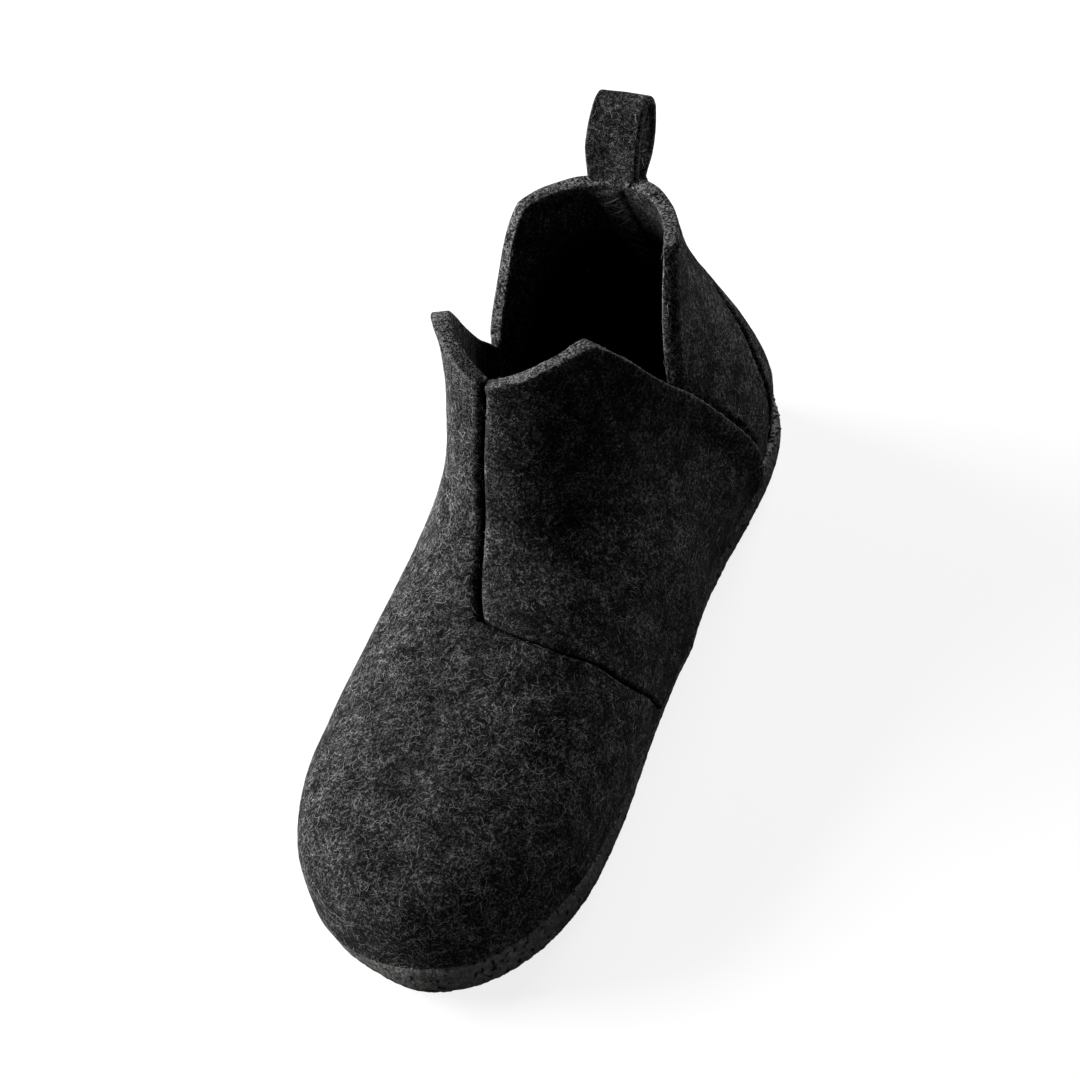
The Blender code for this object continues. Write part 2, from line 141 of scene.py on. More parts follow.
def smooth_table(value, keys, entries):
    """Smooth curve through a table's column, held level beyond the first and last row."""
    slopes = np.gradient(entries, keys)
    value = np.clip(value, keys[0], keys[-1])
    row = np.clip(np.searchsorted(keys, value, side="right") - 1, 0, len(keys) - 2)
    step = keys[row + 1] - keys[row]
    t = (value - keys[row]) / step
    ahead = t * t * (3 - 2 * t)
    bend = t * (1 - t) * step * ((1 - t) * slopes[row] - t * slopes[row + 1])
    return entries[row] * (1 - ahead) + entries[row + 1] * ahead + bend


def round_end(share, power):
    """Falls from 1 to 0 along a rounded end as the share runs from 0 to 1."""
    return np.maximum(1 - np.clip(share, 0, 1) ** power, 1e-4) ** (1 / power)


def smooth_step(share):
    """Rises from 0 to 1 with level ends as the share runs from 0 to 1."""
    share = np.clip(share, 0, 1)
    return share * share * (3 - 2 * share)


def superoval(sideways, lengthwise, squareness):
    """Size of the rounded rectangle through a point: 1 on the oval itself, less inside it."""
    return (np.abs(sideways) ** squareness + np.abs(lengthwise) ** squareness) ** (1 / squareness)


def foot_form(across, along, height):
    """Rough distance to the foot part of the last."""
    share = along / LENGTH
    width, swing, ridge = (smooth_table(share, FOOT_SECTIONS[:, 0], column)
                           for column in FOOT_SECTIONS[:, 1:].T)
    toe_end = round_end((along - LENGTH + TOE_RUN) / TOE_RUN, TOE_ROUNDNESS)
    width = width * BALL_WIDTH / 2 * round_end(1 - along / HEEL_RUN, HEEL_ROUNDNESS) * toe_end
    swing = swing * BALL_WIDTH / 2
    crown = ridge * INSTEP_HEIGHT - BULGE_HEIGHT
    crown = crown * round_end((along - LENGTH + DOME_RUN) / DOME_RUN, DOME_ROUNDNESS)
    above = height - BULGE_HEIGHT
    rise = np.where(above > 0, above / np.maximum(crown, 1e-3), -above / TUCK_UNDER)
    radius = superoval((across - swing) / width, rise, 2.5)
    beyond = np.maximum(0, -along) + np.maximum(0, along - LENGTH)
    heel_fade = np.clip((105.0 - along) / 55.0, 0, 1)
    return (radius - 1) * np.clip(width, 4, 40) + 40.0 * beyond + 14.0 * heel_fade


def ankle_form(across, along, height):
    """Rough distance to the ankle part of the last."""
    level = height / COLLAR_HEIGHT
    front, back, width, lean, square, flare = (smooth_table(level, ANKLE_LEVELS[:, 0], column)
                                               for column in ANKLE_LEVELS[:, 1:].T)
    flare = flare * smooth_step((FLARE_START - along) / FLARE_RUN) * (across < lean)
    from_middle = (along / LENGTH - (front + back) / 2) / ((front - back) / 2)
    sideways = (across - lean) / (width * (1 + flare) * HEEL_WIDTH / 2)
    return (superoval(sideways, from_middle, square) - 1) * 32.4


def last_form(points, blend=5.0):
    """Both parts of the last, run together at the instep: negative inside."""
    across, along, height = np.moveaxis(points, -1, 0)
    foot = foot_form(across, along, height)
    ankle = ankle_form(across, along, height)
    nearer = np.minimum(foot, ankle)
    return nearer - blend * np.log(np.exp((nearer - foot) / blend) + np.exp((nearer - ankle) / blend))


def outward_hit(start, direction, follow=None, reach=240.0):
    """Where rays from inside leave the last; follow may bend a ray to a height along the foot."""
    def at(distance):
        points = start + direction * distance[..., None]
        if follow is not None:
            points[..., 2] = follow(points[..., 1])
        return points

    near = np.zeros(direction.shape[:-1])
    far = np.full(direction.shape[:-1], reach)
    for _ in range(30):
        middle = (near + far) / 2
        inside = last_form(at(middle)) < 0
        near = np.where(inside, middle, near)
        far = np.where(inside, far, middle)
    return at(near)


def wall_point(angle, height):
    """Point of the last at an angle round the ankle; the height may be a line along the foot."""
    turn = np.radians(np.asarray(angle, float))
    direction = np.stack([np.sin(turn), np.cos(turn), np.zeros_like(turn)], -1)
    start = np.broadcast_to(ANKLE_CENTRE, direction.shape).copy()
    if callable(height):
        return outward_hit(start, direction, follow=height)
    start[..., 2] = height
    return outward_hit(start, direction)


def unit(vectors):
    """Vectors of the same directions, one long."""
    return vectors / np.maximum(np.linalg.norm(vectors, axis=-1, keepdims=True), 1e-9)


def outward(points, reach=0.2):
    """Unit normals of the last."""
    slopes = [last_form(points + step) - last_form(points - step) for step in np.eye(3) * reach]
    return unit(np.stack(slopes, -1))


def toe_share(along):
    """How far a place lies into the sole's raised toe."""
    return np.clip((along - SPRING_START) / (LENGTH - SPRING_START), 0, 1.1)


def ground(along):
    """Height of the sole's underside."""
    return TOE_SPRING * toe_share(along) ** 2 + HEEL_LIFT * np.clip(1 - along / HEEL_LIFT_RUN, 0, 1.1) ** 2


def feather(along):
    """Height of the felt's lower edge."""
    return FEATHER_HEIGHT + FEATHER_SPRING * toe_share(along) ** 2


def run_along(line):
    """Distance of each point of a line from its start."""
    return np.concatenate([[0], np.cumsum(np.linalg.norm(np.diff(line, axis=0), axis=-1))])


def line_points(line, places):
    """Points of a line at distances from its start."""
    run = run_along(line)
    return np.stack([np.interp(places, run, line[:, k]) for k in range(3)], -1)


def feather_ring(count):
    """Feather line seen from above, in even steps from the toe's tip."""
    line = wall_point(np.linspace(0, 360, 1441), feather)
    return line_points(line, np.linspace(0, run_along(line)[-1], count, endpoint=False))


def plan_offset(ring, reach):
    """Ring moved outwards in plan."""
    tangent = np.roll(ring, -1, axis=0) - np.roll(ring, 1, axis=0)
    normal = unit(np.stack([-tangent[:, 1], tangent[:, 0]], -1))
    moved = ring.copy()
    moved[:, :2] += normal * np.reshape(reach, (-1, 1))
    return moved


def waist(ring):
    """How far the sole's edge lies inside the feather line."""
    share = ring[:, 1] / LENGTH
    inner, outer = (smooth_table(share, SOLE_WAIST[:, 0], column) for column in SOLE_WAIST[:, 1:].T)
    swing = smooth_table(share, FOOT_SECTIONS[:, 0], FOOT_SECTIONS[:, 2]) * BALL_WIDTH / 2
    return outer + (inner - outer) * smooth_step((ring[:, 0] - swing) / WAIST_BLEND + 0.5)


def lumps(points, size, seed=0.0):
    """Smooth random heights from -1 to 1, with lumps of the given size."""
    places = (points.reshape(-1, 3) / size + seed).tolist()
    return np.array([noise.noise(place) for place in places]).reshape(points.shape[:-1])


def grid_normals(grid, closed):
    """Unit normals of a grid of points whose rows run upwards and columns with the angle."""
    if closed:
        sideways = np.roll(grid, -1, axis=0) - np.roll(grid, 1, axis=0)
    else:
        sideways = np.gradient(grid, axis=0)
    return unit(np.cross(np.gradient(grid, axis=1), sideways))


def crumbly(grid, weight, height, closed):
    """Grid pushed in and out by coarse and fine crumbs."""
    coarse = lumps(grid, 1.9, 0.4) * 0.8
    fine = lumps(grid, 0.95, 7.3) * 0.9
    broad = lumps(grid, 9.0, 3.1) * 0.4
    return grid + grid_normals(grid, closed) * ((coarse + fine + broad) * weight * height)[..., None]


def grid_faces(columns, rows, closed=False, first=0):
    """Faces of a grid, outwards where its rows run upwards and its columns with the angle."""
    index = first + np.arange(columns * rows).reshape(columns, rows)
    following = np.roll(index, -1, axis=0) if closed else index[1:]
    here = index if closed else index[:-1]
    corners = (here[:, :-1], following[:, :-1], following[:, 1:], here[:, 1:])
    return np.stack(corners, -1).reshape(-1, 4).tolist()


def ladder(first, count, step, upward):
    """Faces across a closed ring that starts at the toe's tip, rung by rung from toe to heel."""
    left = [first + i * step for i in range(count // 2 + 1)]
    right = [first + (count - i) % count * step for i in range(count // 2 + 1)]
    faces = [(left[0], left[1], right[1])]
    faces += [(left[i], left[i + 1], right[i + 1], right[i]) for i in range(1, count // 2 - 1)]
    faces.append((left[-2], left[-1], right[-2]))
    return faces if upward else [face[::-1] for face in faces]


def to_frame(points):
    """Places in the frame, in metres, of points of the foot in millimetres."""
    across, along, height = points.reshape(-1, 3).T
    return np.stack([across - FRAME_MIDDLE[0], FRAME_MIDDLE[1] - along, height], -1) * MM


def make_piece(name, points, faces, material, **attributes):
    """Smooth mesh object in the frame; each attribute has one value a point."""
    mesh = bpy.data.meshes.new(name)
    mesh.from_pydata(to_frame(points).tolist(), [], faces)
    for label, values in attributes.items():
        layer = mesh.attributes.new(label, "FLOAT", "POINT")
        layer.data.foreach_set("value", np.asarray(values, np.float32).ravel())
    mesh.materials.append(material)
    mesh.shade_smooth()
    piece = bpy.data.objects.new(name, mesh)
    bpy.context.scene.collection.objects.link(piece)
    return piece


class Shade:
    """A socket of a node tree: sums and products of such values become Math nodes."""

    def __init__(self, tree, socket=None):
        self.tree = tree
        self.socket = socket

    def node(self, kind, settings=None, output=0, **values):
        """New node: its settings first, then its sockets' values or links, by name or identifier."""
        made = self.tree.nodes.new(kind)
        for label, setting in (settings or {}).items():
            setattr(made, label, setting)
        for label, value in values.items():
            wanted = [s for s in made.inputs if s.identifier == label] or [
                s for s in made.inputs if s.name.replace(" ", "_") == label]
            if isinstance(value, Shade):
                self.tree.links.new(value.socket, wanted[0])
            else:
                wanted[0].default_value = value
        return Shade(self.tree, made.outputs[output])

    def maths(self, operation, first, second):
        """Math node on two values or numbers."""
        return self.node("ShaderNodeMath", {"operation": operation}, Value=first, Value_001=second)

    def __add__(self, other):
        return self.maths("ADD", self, other)

    def __sub__(self, other):
        return self.maths("SUBTRACT", self, other)

    def __rsub__(self, other):
        return self.maths("SUBTRACT", other, self)

    def __mul__(self, other):
        return self.maths("MULTIPLY", self, other)

    __radd__ = __add__
    __rmul__ = __mul__

    def most(self, other):
        """The larger of two values."""
        return self.maths("MAXIMUM", self, other)

    def noise(self, scale, detail, **more):
        """Noise pattern over this place."""
        return self.node("ShaderNodeTexNoise", Vector=self, Scale=scale, Detail=detail, **more)

    def between(self, low, high):
        """Smooth step from 0 to 1 between two values."""
        return self.node("ShaderNodeMapRange", {"interpolation_type": "SMOOTHSTEP"},
                         Value=self, From_Min=low, From_Max=high)

    def mix(self, first, second):
        """Colour between two colours, by this value."""
        return self.node("ShaderNodeMix", {"data_type": "RGBA"}, output=2,
                         Factor_Float=self, A_Color=first, B_Color=second)


def colour(red, green, blue):
    """Opaque colour."""
    return (red, green, blue, 1.0)


def new_material(name, **constants):
    """Material with its constant values set: returns it, its shader and a value to build on."""
    material = bpy.data.materials.new(name)
    material.use_nodes = True
    shader = material.node_tree.nodes["Principled BSDF"]
    for label, value in constants.items():
        shader.inputs[label.replace("_", " ")].default_value = value
    return material, shader, Shade(material.node_tree)


def connect(shader, **values):
    """Values that vary over the surface, linked to the shader's sockets."""
    for label, value in values.items():
        shader.id_data.links.new(value.socket, shader.inputs[label.replace("_", " ")])


def crumb_material(name, dark, middle, pale, wear):
    """Bound rubber crumb: dark grains with pale worn tops, small pits painted near black as painted shade,
    and a broken gloss.
    """
    material, shader, shade = new_material(name, Specular_IOR_Level=0.3)
    place = shade.node("ShaderNodeTexCoord", output="Object")
    grain = shade.node("ShaderNodeTexVoronoi", {"feature": "F1"}, Vector=place, Scale=900.0)
    tint = shade.node("ShaderNodeTexVoronoi", {"feature": "F1"}, output="Color", Vector=place, Scale=620.0)
    tint = shade.node("ShaderNodeSeparateColor", Color=tint)
    fine = place.noise(1500.0, 3.0)
    broad = place.noise(90.0, 3.0)
    # Small pits, dented into the bump and painted near black as painted shade in the hollows
    pits = 1 - place.noise(540.0, 1.5).between(0.33, 0.42)
    scuffed = (tint * 0.5 + fine * 0.5).between(0.42, 0.75) * (broad.between(0.35, 0.7) * (1 - wear) + wear)
    body = fine.between(0.3, 0.7).mix(dark, middle)
    worn = (scuffed * 0.8).mix(body, pale)
    height = (1 - grain * 1.2) * 0.6 + fine * 0.5 - pits * 0.7
    bump = shade.node("ShaderNodeBump", Height=height, Strength=0.55, Distance=0.0005)
    connect(shader, Base_Color=pits.mix(worn, colour(0.004, 0.004, 0.004)),
            Roughness=0.42 + fine * 0.35 + pits * 0.2, Normal=bump)
    return material


ring = feather_ring(SHELL_COLUMNS)
profile_run = run_along(SHELL_PROFILE[:, :2] * (FEATHER_HEIGHT, 1.0))
profile_even = np.linspace(0, profile_run[-1], SHELL_ROWS)
profile = np.stack([smooth_table(profile_even, profile_run, column) for column in SHELL_PROFILE.T], -1)
shell = np.empty((SHELL_COLUMNS, SHELL_ROWS, 3))
for row, (share, reach, _) in enumerate(profile):
    shell[:, row] = plan_offset(ring, reach - waist(ring))
    floor_line = ground(shell[:, row, 1]) + LIP_RISE
    shell[:, row, 2] = floor_line + (feather(shell[:, row, 1]) - floor_line) * share
shell = crumbly(shell, np.clip(profile[:, 2], 0, 1)[None], CRUMB_HEIGHT, closed=True)
shell_faces = grid_faces(SHELL_COLUMNS, SHELL_ROWS, closed=True)
shell_faces += ladder(0, SHELL_COLUMNS, SHELL_ROWS, upward=False)
shell_faces += ladder(SHELL_ROWS - 1, SHELL_COLUMNS, SHELL_ROWS, upward=True)
crumb = crumb_material("crumb", colour(0.050, 0.0493, 0.048), colour(0.12, 0.118, 0.115),
                       colour(0.21, 0.207, 0.202), wear=0.35)
shell_edge = smooth_step((profile[:, 0] - 0.8) * 6) * (profile[:, 1] > -2.5)
crumb_share = FEW_CRUMBS + (1 - FEW_CRUMBS) * (ring[:, 0] > LOOSE_SIDE) * (ring[:, 1] < LOOSE_END)
shell_edge = shell_edge[None] * crumb_share[:, None]
sole_shell = make_piece("sole_shell", shell, shell_faces, crumb, strewn=shell_edge)
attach(sole_shell, "root")
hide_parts("sole_rim")

# Tread plate
# A flat plate of coarser crumb set in the shell's underside, with a groove all round it.
# Its grains are pressed flat by wear and shine a little where they touch the floor.
TREAD_THICKNESS = 3.5
TREAD_REACH = -8.8
TREAD_BEVEL = 0.8
TREAD_RUNGS = 330
TREAD_STEPS = 96
TREAD_CRUMB = 0.5

tread_ring = feather_ring(2 * TREAD_RUNGS)
tread_ring = plan_offset(tread_ring, TREAD_REACH - waist(tread_ring))
inset_ring = plan_offset(tread_ring, -TREAD_BEVEL)


def rungs(line, count, steps_across):
    """Grid across a closed ring that starts at the toe's tip: rungs from toe to heel."""
    left = line[1:count]
    right = line[:count:-1]
    share = np.linspace(0, 1, steps_across)[None, :, None]
    return left[:, None] * (1 - share) + right[:, None] * share


def grid_rim(columns, rows):
    """Indices of a grid's points, once round its edge."""
    index = np.arange(columns * rows).reshape(columns, rows)
    return np.concatenate([index[:, 0], index[-1, 1:-1], index[::-1, -1], index[0, -2:0:-1]])


def skirt(low, high):
    """Faces between two closed rows of points."""
    return np.stack([low, np.roll(low, -1), np.roll(high, -1), high], -1).tolist()


under = rungs(inset_ring, TREAD_RUNGS, TREAD_STEPS)
worn_flat = np.clip(np.abs(lumps(under, 2.4, 5.0)) * 1.5 + lumps(under, 1.2, 2.0) * 0.5, 0, 1)
rim_fade = np.minimum(np.arange(TREAD_STEPS), np.arange(TREAD_STEPS)[::-1]) / 4
under[..., 2] = ground(under[..., 1]) + worn_flat * TREAD_CRUMB * np.clip(rim_fade, 0, 1)[None]
tread_points = under.reshape(-1, 3)
tread_faces = grid_faces(*under.shape[:2])
low = grid_rim(*under.shape[:2])
tread_edge = plan_offset(tread_points[low], TREAD_BEVEL)
for level in (TREAD_BEVEL, TREAD_THICKNESS):
    tread_edge[:, 2] = ground(tread_edge[:, 1]) + level
    high = len(tread_points) + np.arange(len(tread_edge))
    tread_points = np.concatenate([tread_points, tread_edge])
    tread_faces += skirt(low, high)
    low = high
tread_faces.append(low.tolist())
tread_rubber = crumb_material("tread", colour(0.004, 0.004, 0.004), colour(0.014, 0.014, 0.014),
                              colour(0.075, 0.073, 0.070), wear=0.15)
tread_plate = make_piece("tread_plate", tread_points, tread_faces, tread_rubber)
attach(tread_plate, "root")
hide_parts("outsole")

# Insole
# A footbed of thin charcoal felt, cut to lie inside the wall and a little dished by the foot.
# It is dropped in loose and rests on the shell.
INSOLE_REACH = -6.9
INSOLE_THICKNESS = 4.0
INSOLE_DISH = 1.5
INSOLE_SLOPE = 9.0
INSOLE_RUNGS = 180
INSOLE_STEPS = 60
# Scales of the fibre fields in the felt's pattern, coarse to fine
FELTED_FIBRES = (520.0, 640.0, 780.0, 920.0, 1080.0, 1250.0)


def felt_material(name, dark, middle, pale, cut_highlight=0.55):
    """Wool felt: charcoal wool with paler fibres felted in all directions, in soft clouds, and a dry nap,
    with a painted highlight along cut edges and painted shade in seams and on the inner face.
    """
    material, shader, shade = new_material(name, Roughness=0.96, Specular_IOR_Level=0.03, Sheen_Weight=0.02,
                                           Sheen_Roughness=0.45, Sheen_Tint=colour(0.75, 0.76, 0.80))
    place = shade.node("ShaderNodeTexCoord", output="Object")
    kinks = place.noise(1500.0, 1.0, output="Color")
    bent = shade.node("ShaderNodeVectorMath", {"operation": "MULTIPLY_ADD"}, Vector=kinks,
                      Vector_001=(0.0005, 0.0005, 0.0005), Vector_002=place)
    clouds = place.noise(130.0, 4.0, Roughness=0.62)
    nap = place.noise(2600.0, 2.0)
    fibres = None
    for number, scale in enumerate(FELTED_FIBRES):
        moved = shade.node("ShaderNodeMapping", Vector=bent,
                           Location=(0.31 * number, 0.17 * number, 0.23 * number),
                           Rotation=(0.7 * number, 0.4 * number, 1.1 * number))
        curl = moved.noise(scale, 1.0)
        patches = moved.noise(scale * 0.9, 1.0)
        strand = 1 - shade.maths("ABSOLUTE", curl - 0.5, 0.0).between(scale * 0.000005, scale * 0.000026)
        strand = strand * patches.between(0.50, 0.62)
        fibres = strand if fibres is None else fibres.most(strand)
    density = clouds.between(0.32, 0.68)
    speckle = bent.noise(1250.0, 2.0).between(0.48, 0.66)
    # Painted highlight: the felt is painted paler along its cut edges, by the edge attribute
    cut = shade.node("ShaderNodeAttribute", {"attribute_name": "cut_edge"}, output="Fac")
    wool = (nap * 0.6 + density * 0.4).between(0.28, 0.72).mix(dark, middle)
    shown = fibres * (density * 0.7 + 0.3) + cut * cut_highlight * speckle
    bump = shade.node("ShaderNodeBump", Height=fibres * 0.5 + nap * 0.8, Strength=0.4, Distance=0.0003)
    # Painted shade: the felt is painted near black in the seams' grooves and on its inner face, by the inside
    # attribute
    inside = shade.node("ShaderNodeAttribute", {"attribute_name": "inside"}, output="Fac")
    shaded = (inside * 0.9).mix(shown.mix(wool, pale), colour(0.0005, 0.0005, 0.0005))
    connect(shader, Base_Color=shaded, Normal=bump)
    return material


insole_ring = plan_offset(feather_ring(2 * INSOLE_RUNGS), INSOLE_REACH)
bed = rungs(insole_ring, INSOLE_RUNGS, INSOLE_STEPS)
from_side = np.linalg.norm(bed - bed[:, :1], axis=-1)
from_side = np.minimum(from_side, np.linalg.norm(bed - bed[:, -1:], axis=-1))
dish = INSOLE_DISH * np.clip(from_side / INSOLE_SLOPE, 0, 1) ** 0.8
bed[..., 2] = feather(bed[..., 1]) + INSOLE_THICKNESS - dish + lumps(bed, 14.0) * 0.25
rim = grid_rim(*bed.shape[:2])
bottom = bed.reshape(-1, 3)[rim]
bottom[:, 2] = feather(bottom[:, 1])
low = bed[..., 0].size + np.arange(len(rim))
bed_faces = [face[::-1] for face in grid_faces(*bed.shape[:2]) + skirt(rim, low)]
bed_faces.append(low.tolist())
footbed = felt_material("footbed", colour(0.006, 0.006, 0.007), colour(0.016, 0.016, 0.017),
                        colour(0.10, 0.10, 0.10))
insole = make_piece("footbed_insole", np.concatenate([bed.reshape(-1, 3), bottom]), bed_faces, footbed)
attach(insole, "root")
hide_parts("insole")

# Vamp with the outer quarter
# The largest piece of the upper: thick charcoal felt over the toe, up the instep and back along the foot's
# outer side. Its collar and its slanted rear edge are cut square, and its inner edge is turned into the seam.
FELT = 4.5
PANEL_STEP = 1.5
CUT = 0.7
TURNED = 2.7
TURNED_GAP = 0.42
FLAT_SEAM = 1.3
FLAT_GAP = 0.16
SLANT_PROUD = 1.5
EDGE_ROWS = np.array([0.0, 0.12, 0.32, 0.60, 0.95, 1.4, 2.0, 2.8, 3.8])
FELT_ROWS = 62
SHARP_FELT = math.radians(48)
UNEVENNESS = 0.22
LUMP_SIZE = 13.0
TUFT_SIZE = 7.0
# Width of the band along a cut edge that gets the painted highlight and thicker loose fibres
CUT_BAND = 1.2
# Width and fade of the painted shade in a seam's groove
GROOVE_SHADE_WIDTH = 0.15
GROOVE_SHADE_FADE = 0.4
SEAM_CLOSING = 10.0
PROUD_RUN = 11.0
BACK_OFF_RUN = 3.0
# Distance from the cut edges at which painted shade starts on the inner face, and over which it deepens
INNER_SHADE_START = 3.0
INNER_SHADE_RUN = 24.0
# The seam on the instep, from the collar's dip to its corner, and on to the sole at the ball's inner side
INSTEP_SEAM = np.array([
    (-2.6, 114.6, 113.4),
    (-3.6, 121.7, 94.2),
    (-3.4, 127.5, 81.5),
    (-1.9, 137.7, 70.0),
    (2.6, 150.6, 64.2),
    (6.4, 157.4, 61.8),
])
BALL_SEAM = np.array([
    (6.4, 157.4, 61.8),
    (10.5, 158.6, 61.3),
    (16.7, 158.6, 60.4),
    (29.5, 158.2, 57.5),
    (40.9, 155.2, 51.0),
    (47.0, 149.8, 38.5),
    (48.3, 144.0, 26.4),
    (47.2, 138.0, 13.2),
])
# Columns of a cut edge: angle round the ankle from the toe, height
FLAP_TOP = ((-4.0, 113.4), (-9.0, 115.6), (-18.0, 118.6), (-36.0, 120.8), (-56.0, 120.0))
SLANT = ((56.0, 120.0), (64.0, 114.0), (83.0, 98.0), (100.0, 83.0), (113.0, 71.0), (124.0, 50.0),
         (133.0, 14.0))


def cut_line(table):
    """Points of the last on a cut edge."""
    angle, height = np.array(table).T
    return wall_point(angle, height)


def smooth_line(points, share):
    """Smooth line through points, at shares of its length."""
    run = run_along(points)
    return np.stack([smooth_table(share * run[-1], run, points[:, k]) for k in range(3)], -1)


def from_centre(points):
    """Directions from the middle of the ankle."""
    return unit(points - ANKLE_CENTRE)


def on_last(points):
    """Points moved onto the last along their directions from the middle of the ankle."""
    return outward_hit(ANKLE_CENTRE, from_centre(points))


def close_line(*parts):
    """Close points on the last along lines that follow one another."""
    return on_last(np.concatenate([smooth_line(np.asarray(part), np.linspace(0, 1, 90)) for part in parts]))


def felt_columns(low, high, row_count, dense=80):
    """Columns of points on the last from the feather line to an edge, with close rows at the edge."""
    start, end = from_centre(low), from_centre(high)
    angle = np.arccos(np.clip((start * end).sum(-1), -1, 1))[:, None, None]
    share = np.linspace(0, 1, dense)[None, :, None]
    path = np.sin((1 - share) * angle) * start[:, None] + np.sin(share * angle) * end[:, None]
    points = outward_hit(ANKLE_CENTRE, path / np.sin(angle))
    run = np.cumsum(np.linalg.norm(np.diff(points, axis=1), axis=-1), axis=1)
    run = np.concatenate([np.zeros((len(run), 1)), run], axis=1)
    columns = np.empty((len(points), row_count, 3))
    for column, line, length in zip(columns, points, run):
        edge = EDGE_ROWS * min(1.0, length[-1] / 16)
        plain = np.linspace(0, length[-1] - edge[-1], row_count - len(edge) + 1)[:-1]
        stops = np.concatenate([plain, length[-1] - edge[::-1]])
        for k in range(3):
            column[:, k] = np.interp(stops, length, line[:, k])
    return on_last(columns)


def felt_fan(runs):
    """Columns up from the feather line: each run gives an edge, the foot angles of its ends, columns."""
    high, foot = [], []
    for position, (line, first, final, columns) in enumerate(runs):
        share = np.linspace(0, 1, columns, endpoint=position == len(runs) - 1)
        high.append(smooth_line(line, share))
        foot.append(first + (final - first) * share)
    return felt_columns(wall_point(np.concatenate(foot), feather), np.concatenate(high), FELT_ROWS)


def felt_patch(low, high, first, final, columns, rows):
    """Grid of points on the last inside four close lines that meet at their ends, close-set at the edges."""
    def close_ends(count):
        ends = EDGE_ROWS / 105.0
        middle = np.linspace(ends[-1], 1 - ends[-1], count - 2 * len(ends) + 2)
        return np.concatenate([ends[:-1], middle, 1 - ends[-2::-1]])

    def at_shares(line, share):
        return line_points(line, share * run_along(line)[-1])

    u, v = close_ends(columns), close_ends(rows)
    low, high = at_shares(low, u)[:, None], at_shares(high, u)[:, None]
    first, final = at_shares(first, v)[None], at_shares(final, v)[None]
    u, v = u[:, None, None], v[None, :, None]
    corners = (low[:1] * (1 - u) + low[-1:] * u) * (1 - v) + (high[:1] * (1 - u) + high[-1:] * u) * v
    return on_last(low * (1 - v) + high * v + first * (1 - u) + final * u - corners)


def near_edge(points, line):
    """Distance of each point from a line on the last, and the way out past the line at its nearest place."""
    start, step = line[:-1], np.diff(line, axis=0)
    size = np.maximum((step ** 2).sum(-1), 1e-12)
    beside = unit(np.cross(outward(start), step))
    distance = np.empty(points.shape[:-1])
    nearest = np.empty(points.shape[:-1], int)
    for i, column in enumerate(points):
        offset = column[:, None] - start[None]
        share = np.clip((offset * step[None]).sum(-1) / size[None], 0, 1)
        gap = np.linalg.norm(offset - share[..., None] * step[None], axis=-1)
        nearest[i] = gap.argmin(axis=1)
        distance[i] = gap.min(axis=1)
    away = beside[nearest]
    close = (distance > 0.5) & (distance < 6)
    way = ((start[nearest] - points) * away).sum(-1)[close].sum()
    return distance, away * np.sign(way)


def roll_off(distance, radius):
    """How far a rounded edge falls away at a distance from the edge."""
    inside = np.clip(radius - distance, 0, radius)
    return radius - np.sqrt(np.maximum(radius ** 2 - inside ** 2, 0))


def closed_sheet(outer, inner):
    """Points and faces of the wall between two grids of points with the same rows and columns."""
    columns, rows = outer.shape[:2]
    size = columns * rows
    index = np.arange(size).reshape(columns, rows)
    faces = grid_faces(columns, rows) + [f[::-1] for f in grid_faces(columns, rows, first=size)]
    for line in (index[:, 0], index[-1, :], index[::-1, -1], index[0, ::-1]):
        faces += np.stack([line[1:], line[:-1], line[:-1] + size, line[1:] + size], -1).tolist()
    return np.concatenate([outer.reshape(-1, 3), inner.reshape(-1, 3)]), faces


